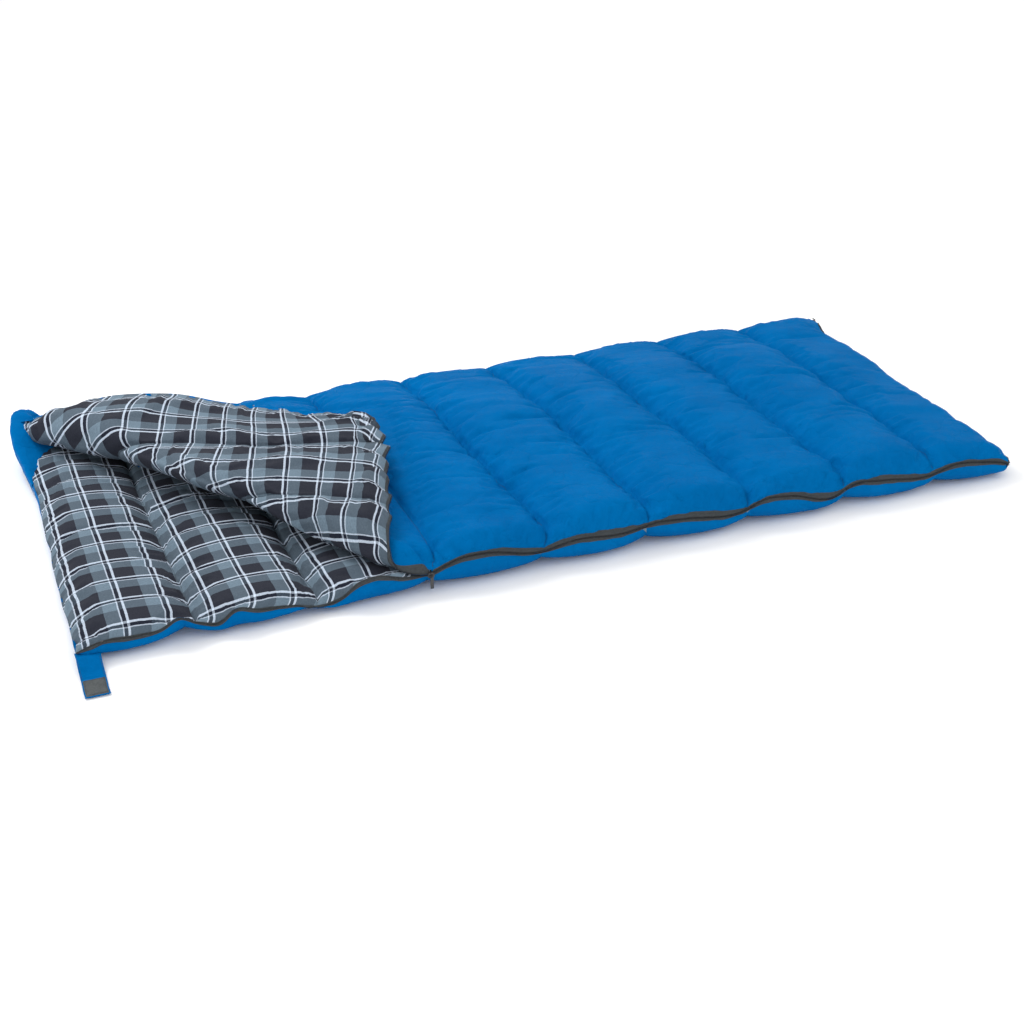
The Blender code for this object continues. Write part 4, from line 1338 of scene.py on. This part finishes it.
def strap_lattice():
    """The strap's upper face: it hangs from the quilt's edge and lies on the floor."""
    across = np.linspace(0.0, 1.0, STRAP_CELLS[0])
    t = np.linspace(0.0, 1.0, STRAP_CELLS[1])
    y = mix(STRAP_HIGH.y, STRAP_LOW.y, t)
    z = curve_through([0.0, 0.10, 0.22, 0.34, 0.48, 0.70, 1.0],
                      [0.0186, 0.0172, 0.0120, 0.0060, 0.0038, 0.0032, 0.0034], t)
    grid_a, grid_t = np.meshgrid(across, t, indexing="ij")
    wave = 0.0006 * lattice_noise(grid_a * 1.6, grid_t * 4.0, 131) * smooth(0.02, 0.2, grid_t)
    curl = 0.0012 * (2 * grid_a - 1) ** 2 * smooth(0.05, 0.25, grid_t) * smooth(0.60, 0.35, grid_t)
    x = mix(STRAP_LOW.x, STRAP_HIGH.x, grid_a) + 0.0006 * lattice_noise(grid_t * 5.0, 0 * grid_t, 132)
    return np.stack([x, y[None, :] + 0 * grid_a, z[None, :] + np.abs(wave) + curl], axis=2)


def ribbon(name, top, thickness):
    """A closed band under a lattice of points."""
    rows, columns = top.shape[:2]
    below = top + thickness * normals_of(top)
    points = np.concatenate([top.reshape(-1, 3), below.reshape(-1, 3)])
    count = rows * columns
    ring = list(range(columns))
    ring += [r * columns + columns - 1 for r in range(1, rows)]
    ring += [(rows - 1) * columns + k for k in range(columns - 2, -1, -1)]
    ring += [r * columns for r in range(rows - 2, 0, -1)]
    sides = [(a, b, b + count, a + count) for a, b in zip(ring, ring[1:] + ring[:1])]
    faces = np.concatenate([grid_faces(rows, columns, True), grid_faces(rows, columns) + count])
    return mesh_of(name, points.tolist(), faces.tolist() + sides)


strap_top = strap_lattice()
strap = ribbon("closure_strap_webbing", strap_top, STRAP_THICK)
finish_piece(strap, shell_blue, "closure_tab", ["closure_strap"])


def strap_points(along_from_end, share):
    """Points on the strap's face: distance from its free end, and share of its width."""
    t = 1 - np.asarray(along_from_end, float) / (STRAP_HIGH.y - STRAP_LOW.y)
    a = np.clip(share * (STRAP_CELLS[0] - 1) + 0 * t, 0, STRAP_CELLS[0] - 1.001)
    b = np.clip(t * (STRAP_CELLS[1] - 1), 0, STRAP_CELLS[1] - 1.001)
    return between(strap_top, a, b)


def strap_line(corners, lift):
    """A line over the strap's face through corners given as (distance from the end, share of width)."""
    parts = []
    for (s0, w0), (s1, w1) in zip(corners[:-1], corners[1:]):
        t = np.linspace(0.0, 1.0, 24, endpoint=False)
        parts.append(strap_points(mix(s0, s1, t), mix(w0, w1, t)))
    line = np.concatenate(parts)
    line[:, 2] += lift
    return line, np.tile(np.array([0.0, 0.0, 1.0]), (len(line), 1))


def hook_pad():
    """The dark hook patch, with its rows of hooks."""
    s = np.linspace(0.002, HOOK_END, 40)
    w = np.linspace(0.05, 0.95, 32)
    grid_s, grid_w = np.meshgrid(s, w, indexing="ij")
    points = strap_points(grid_s, grid_w)
    edge = np.zeros(grid_s.shape, bool)
    edge[[0, -1], :] = True
    edge[:, [0, -1]] = True
    hooks = 0.00035 * np.abs(lattice_noise(grid_s / 0.0016, grid_w / 0.045, 141))
    points[..., 2] += np.where(edge, -0.0002, 0.0011 + hooks)
    return grid_mesh("hook_patch_pile", points, True)


hook_pad_piece = finish_piece(hook_pad(), hook_pile, "closure_tab", ["hook_patch"])
side_seams = [strap_line([(HOOK_END + 0.002, share), (0.100, share)], 0.0002) for share in (0.06, 0.94)]
strap_seams = stitches("closure_strap_stitches", side_seams, thread_blue, "closure_tab", **STRAP_STITCH)
far_row = HOOK_END - 0.003
hook_corners = [(0.005, 0.10), (far_row, 0.10), (far_row, 0.90), (0.005, 0.90), (0.005, 0.10)]
hook_seam = strap_line(hook_corners, 0.0015)
hook_seams = stitches("hook_patch_stitches", [hook_seam], thread_grey, "closure_tab", **STRAP_STITCH)


def strap_root_piece():
    """The strap's sewn end, which runs in under the quilt's edge."""
    across = np.linspace(0.0, 1.0, 12)
    t = np.linspace(0.0, 1.0, 8)
    grid_a, grid_t = np.meshgrid(across, t, indexing="ij")
    x = mix(STRAP_LOW.x, STRAP_HIGH.x, grid_a)
    y = mix(-WIDTH / 2 + 0.006, STRAP_HIGH.y + 0.0004, grid_t)
    z = mix(0.0176, 0.0186, grid_t) + 0.0003 * lattice_noise(grid_a * 3, grid_t * 2, 133)
    return ribbon("closure_strap_root", np.stack([x, y, z], axis=2), STRAP_THICK)


finish_piece(strap_root_piece(), shell_blue, "bottom_quilt", ["strap_root"])

loop_pad = pad_on("loop_patch_pile", flap_side, (0.012, 0.014), (0.054, 0.056), 0.0022)
finish_piece(loop_pad, hook_pile, "flap", ["loop_patch"])


def crimp(name, line, length):
    """A metal top stop: a small clip bent round the coil, with softened edges."""
    lengths = lengths_along(line)
    at = np.linspace(0.0, length, 5)
    centre = along_line(line, lengths, at)
    axis = unit(np.gradient(centre, axis=0))
    up = unit(np.cross(axis, np.array([0.0, 0.3, 1.0])))
    side = np.cross(axis, up)
    turns = np.linspace(0, 2 * math.pi, 13)[:-1]
    reach = np.array([0.72, 1.0, 1.0, 1.0, 0.72])[:, None]
    rings = [centre + 0.0017 * reach * (math.cos(a) * up + 1.15 * math.sin(a) * side) for a in turns]
    points = np.stack(rings, axis=1)
    a = (np.arange(4)[:, None] * 12 + np.arange(12)[None, :]).ravel()
    n = (np.arange(4)[:, None] * 12 + (np.arange(12)[None, :] + 1) % 12).ravel()
    faces = np.stack([a, n, n + 12, a + 12], axis=1).tolist()
    faces += [list(range(11, -1, -1)), list(range(48, 60))]
    return mesh_of(name, points.reshape(-1, 3).tolist(), faces)


flap_line = coil_line(flap_side, near_path(0.028, 0.040), 0.0)[0]
finish_piece(crimp("flap_top_stop_crimp", flap_line, 0.0045), slider_metal, "flap", ["flap_top_stop"])


def dress(name, bevel):
    """Gives a CAD node that stays its metal, and softens its edges."""
    obj = bpy.data.objects[name]
    obj.data.materials.clear()
    obj.data.materials.append(slider_metal)
    modifier = obj.modifiers.new("soft_edges", "BEVEL")
    modifier.width = bevel
    modifier.segments = 2
    modifier.limit_method = "ANGLE"


dress("slider_body", 0.0005)
dress("retainer_box", 0.0004)
for small_part in ("pull_tab", "lower_top_stop", "insertion_pin"):
    dress(small_part, 0.0003)


# ---------------------------------------------------------------- floor, lights, camera
WHITE = (1.0, 1.0, 1.0, 1.0)
FLOOR_SIZE = 9.0
FLOOR_DROP = 0.0005
CAMERA_PLACE = (-1.0858, -2.7938, 1.5408)
CAMERA_TARGET = (-0.0895, -0.2412, 0.0300)
SENSOR_MM, LENS_MM = 36.0, 56.49


def aim(obj, place, target):
    """Puts a lamp or the camera in its place and turns it to its target."""
    COLLECTION.objects.link(obj)
    obj.location = place
    obj.rotation_euler = (Vector(target) - Vector(place)).to_track_quat("-Z", "Y").to_euler()


def build_floor():
    """A white floor just under the bag."""
    size = FLOOR_SIZE
    corners = [(-size, -size, 0), (size, -size, 0), (size, size, 0), (-size, size, 0)]
    floor = mesh_of("floor", corners, [(0, 1, 2, 3)])
    floor.location.z = -FLOOR_DROP
    look = Look("floor_white")
    look.shade("Base Color", WHITE)
    look.shade("Roughness", 0.95)
    look.shade("Specular IOR Level", 0.05)
    floor.data.materials.append(look.material)


def build_world():
    """Even white light from all round."""
    world = bpy.data.worlds.new("studio")
    bpy.context.scene.world = world
    world.use_nodes = True
    background = world.node_tree.nodes["Background"]
    background.inputs["Color"].default_value = WHITE
    background.inputs["Strength"].default_value = 1.0


def area_light(name, place, target, size, power):
    """A square soft light."""
    data = bpy.data.lights.new(name, "AREA")
    data.shape = "RECTANGLE"
    data.size, data.size_y = size, size
    data.energy = power
    aim(bpy.data.objects.new(name, data), place, target)


def build_camera():
    """The camera's lens, place and aim."""
    data = bpy.data.cameras.new("camera")
    data.sensor_width = SENSOR_MM
    data.lens = LENS_MM
    data.clip_start = 0.05
    camera = bpy.data.objects.new("camera", data)
    aim(camera, CAMERA_PLACE, CAMERA_TARGET)
    bpy.context.scene.camera = camera


build_floor()
build_world()
area_light("key", (-1.6, 1.6, 2.6), (0.0, 0.0, 0.0), 1.2, 42.0)
area_light("fill", (2.2, -2.6, 2.4), (0.1, 0.0, 0.0), 2.4, 10.0)
build_camera()
bpy.context.scene.view_settings.view_transform = "Standard"
bpy.context.scene.view_settings.look = "None"
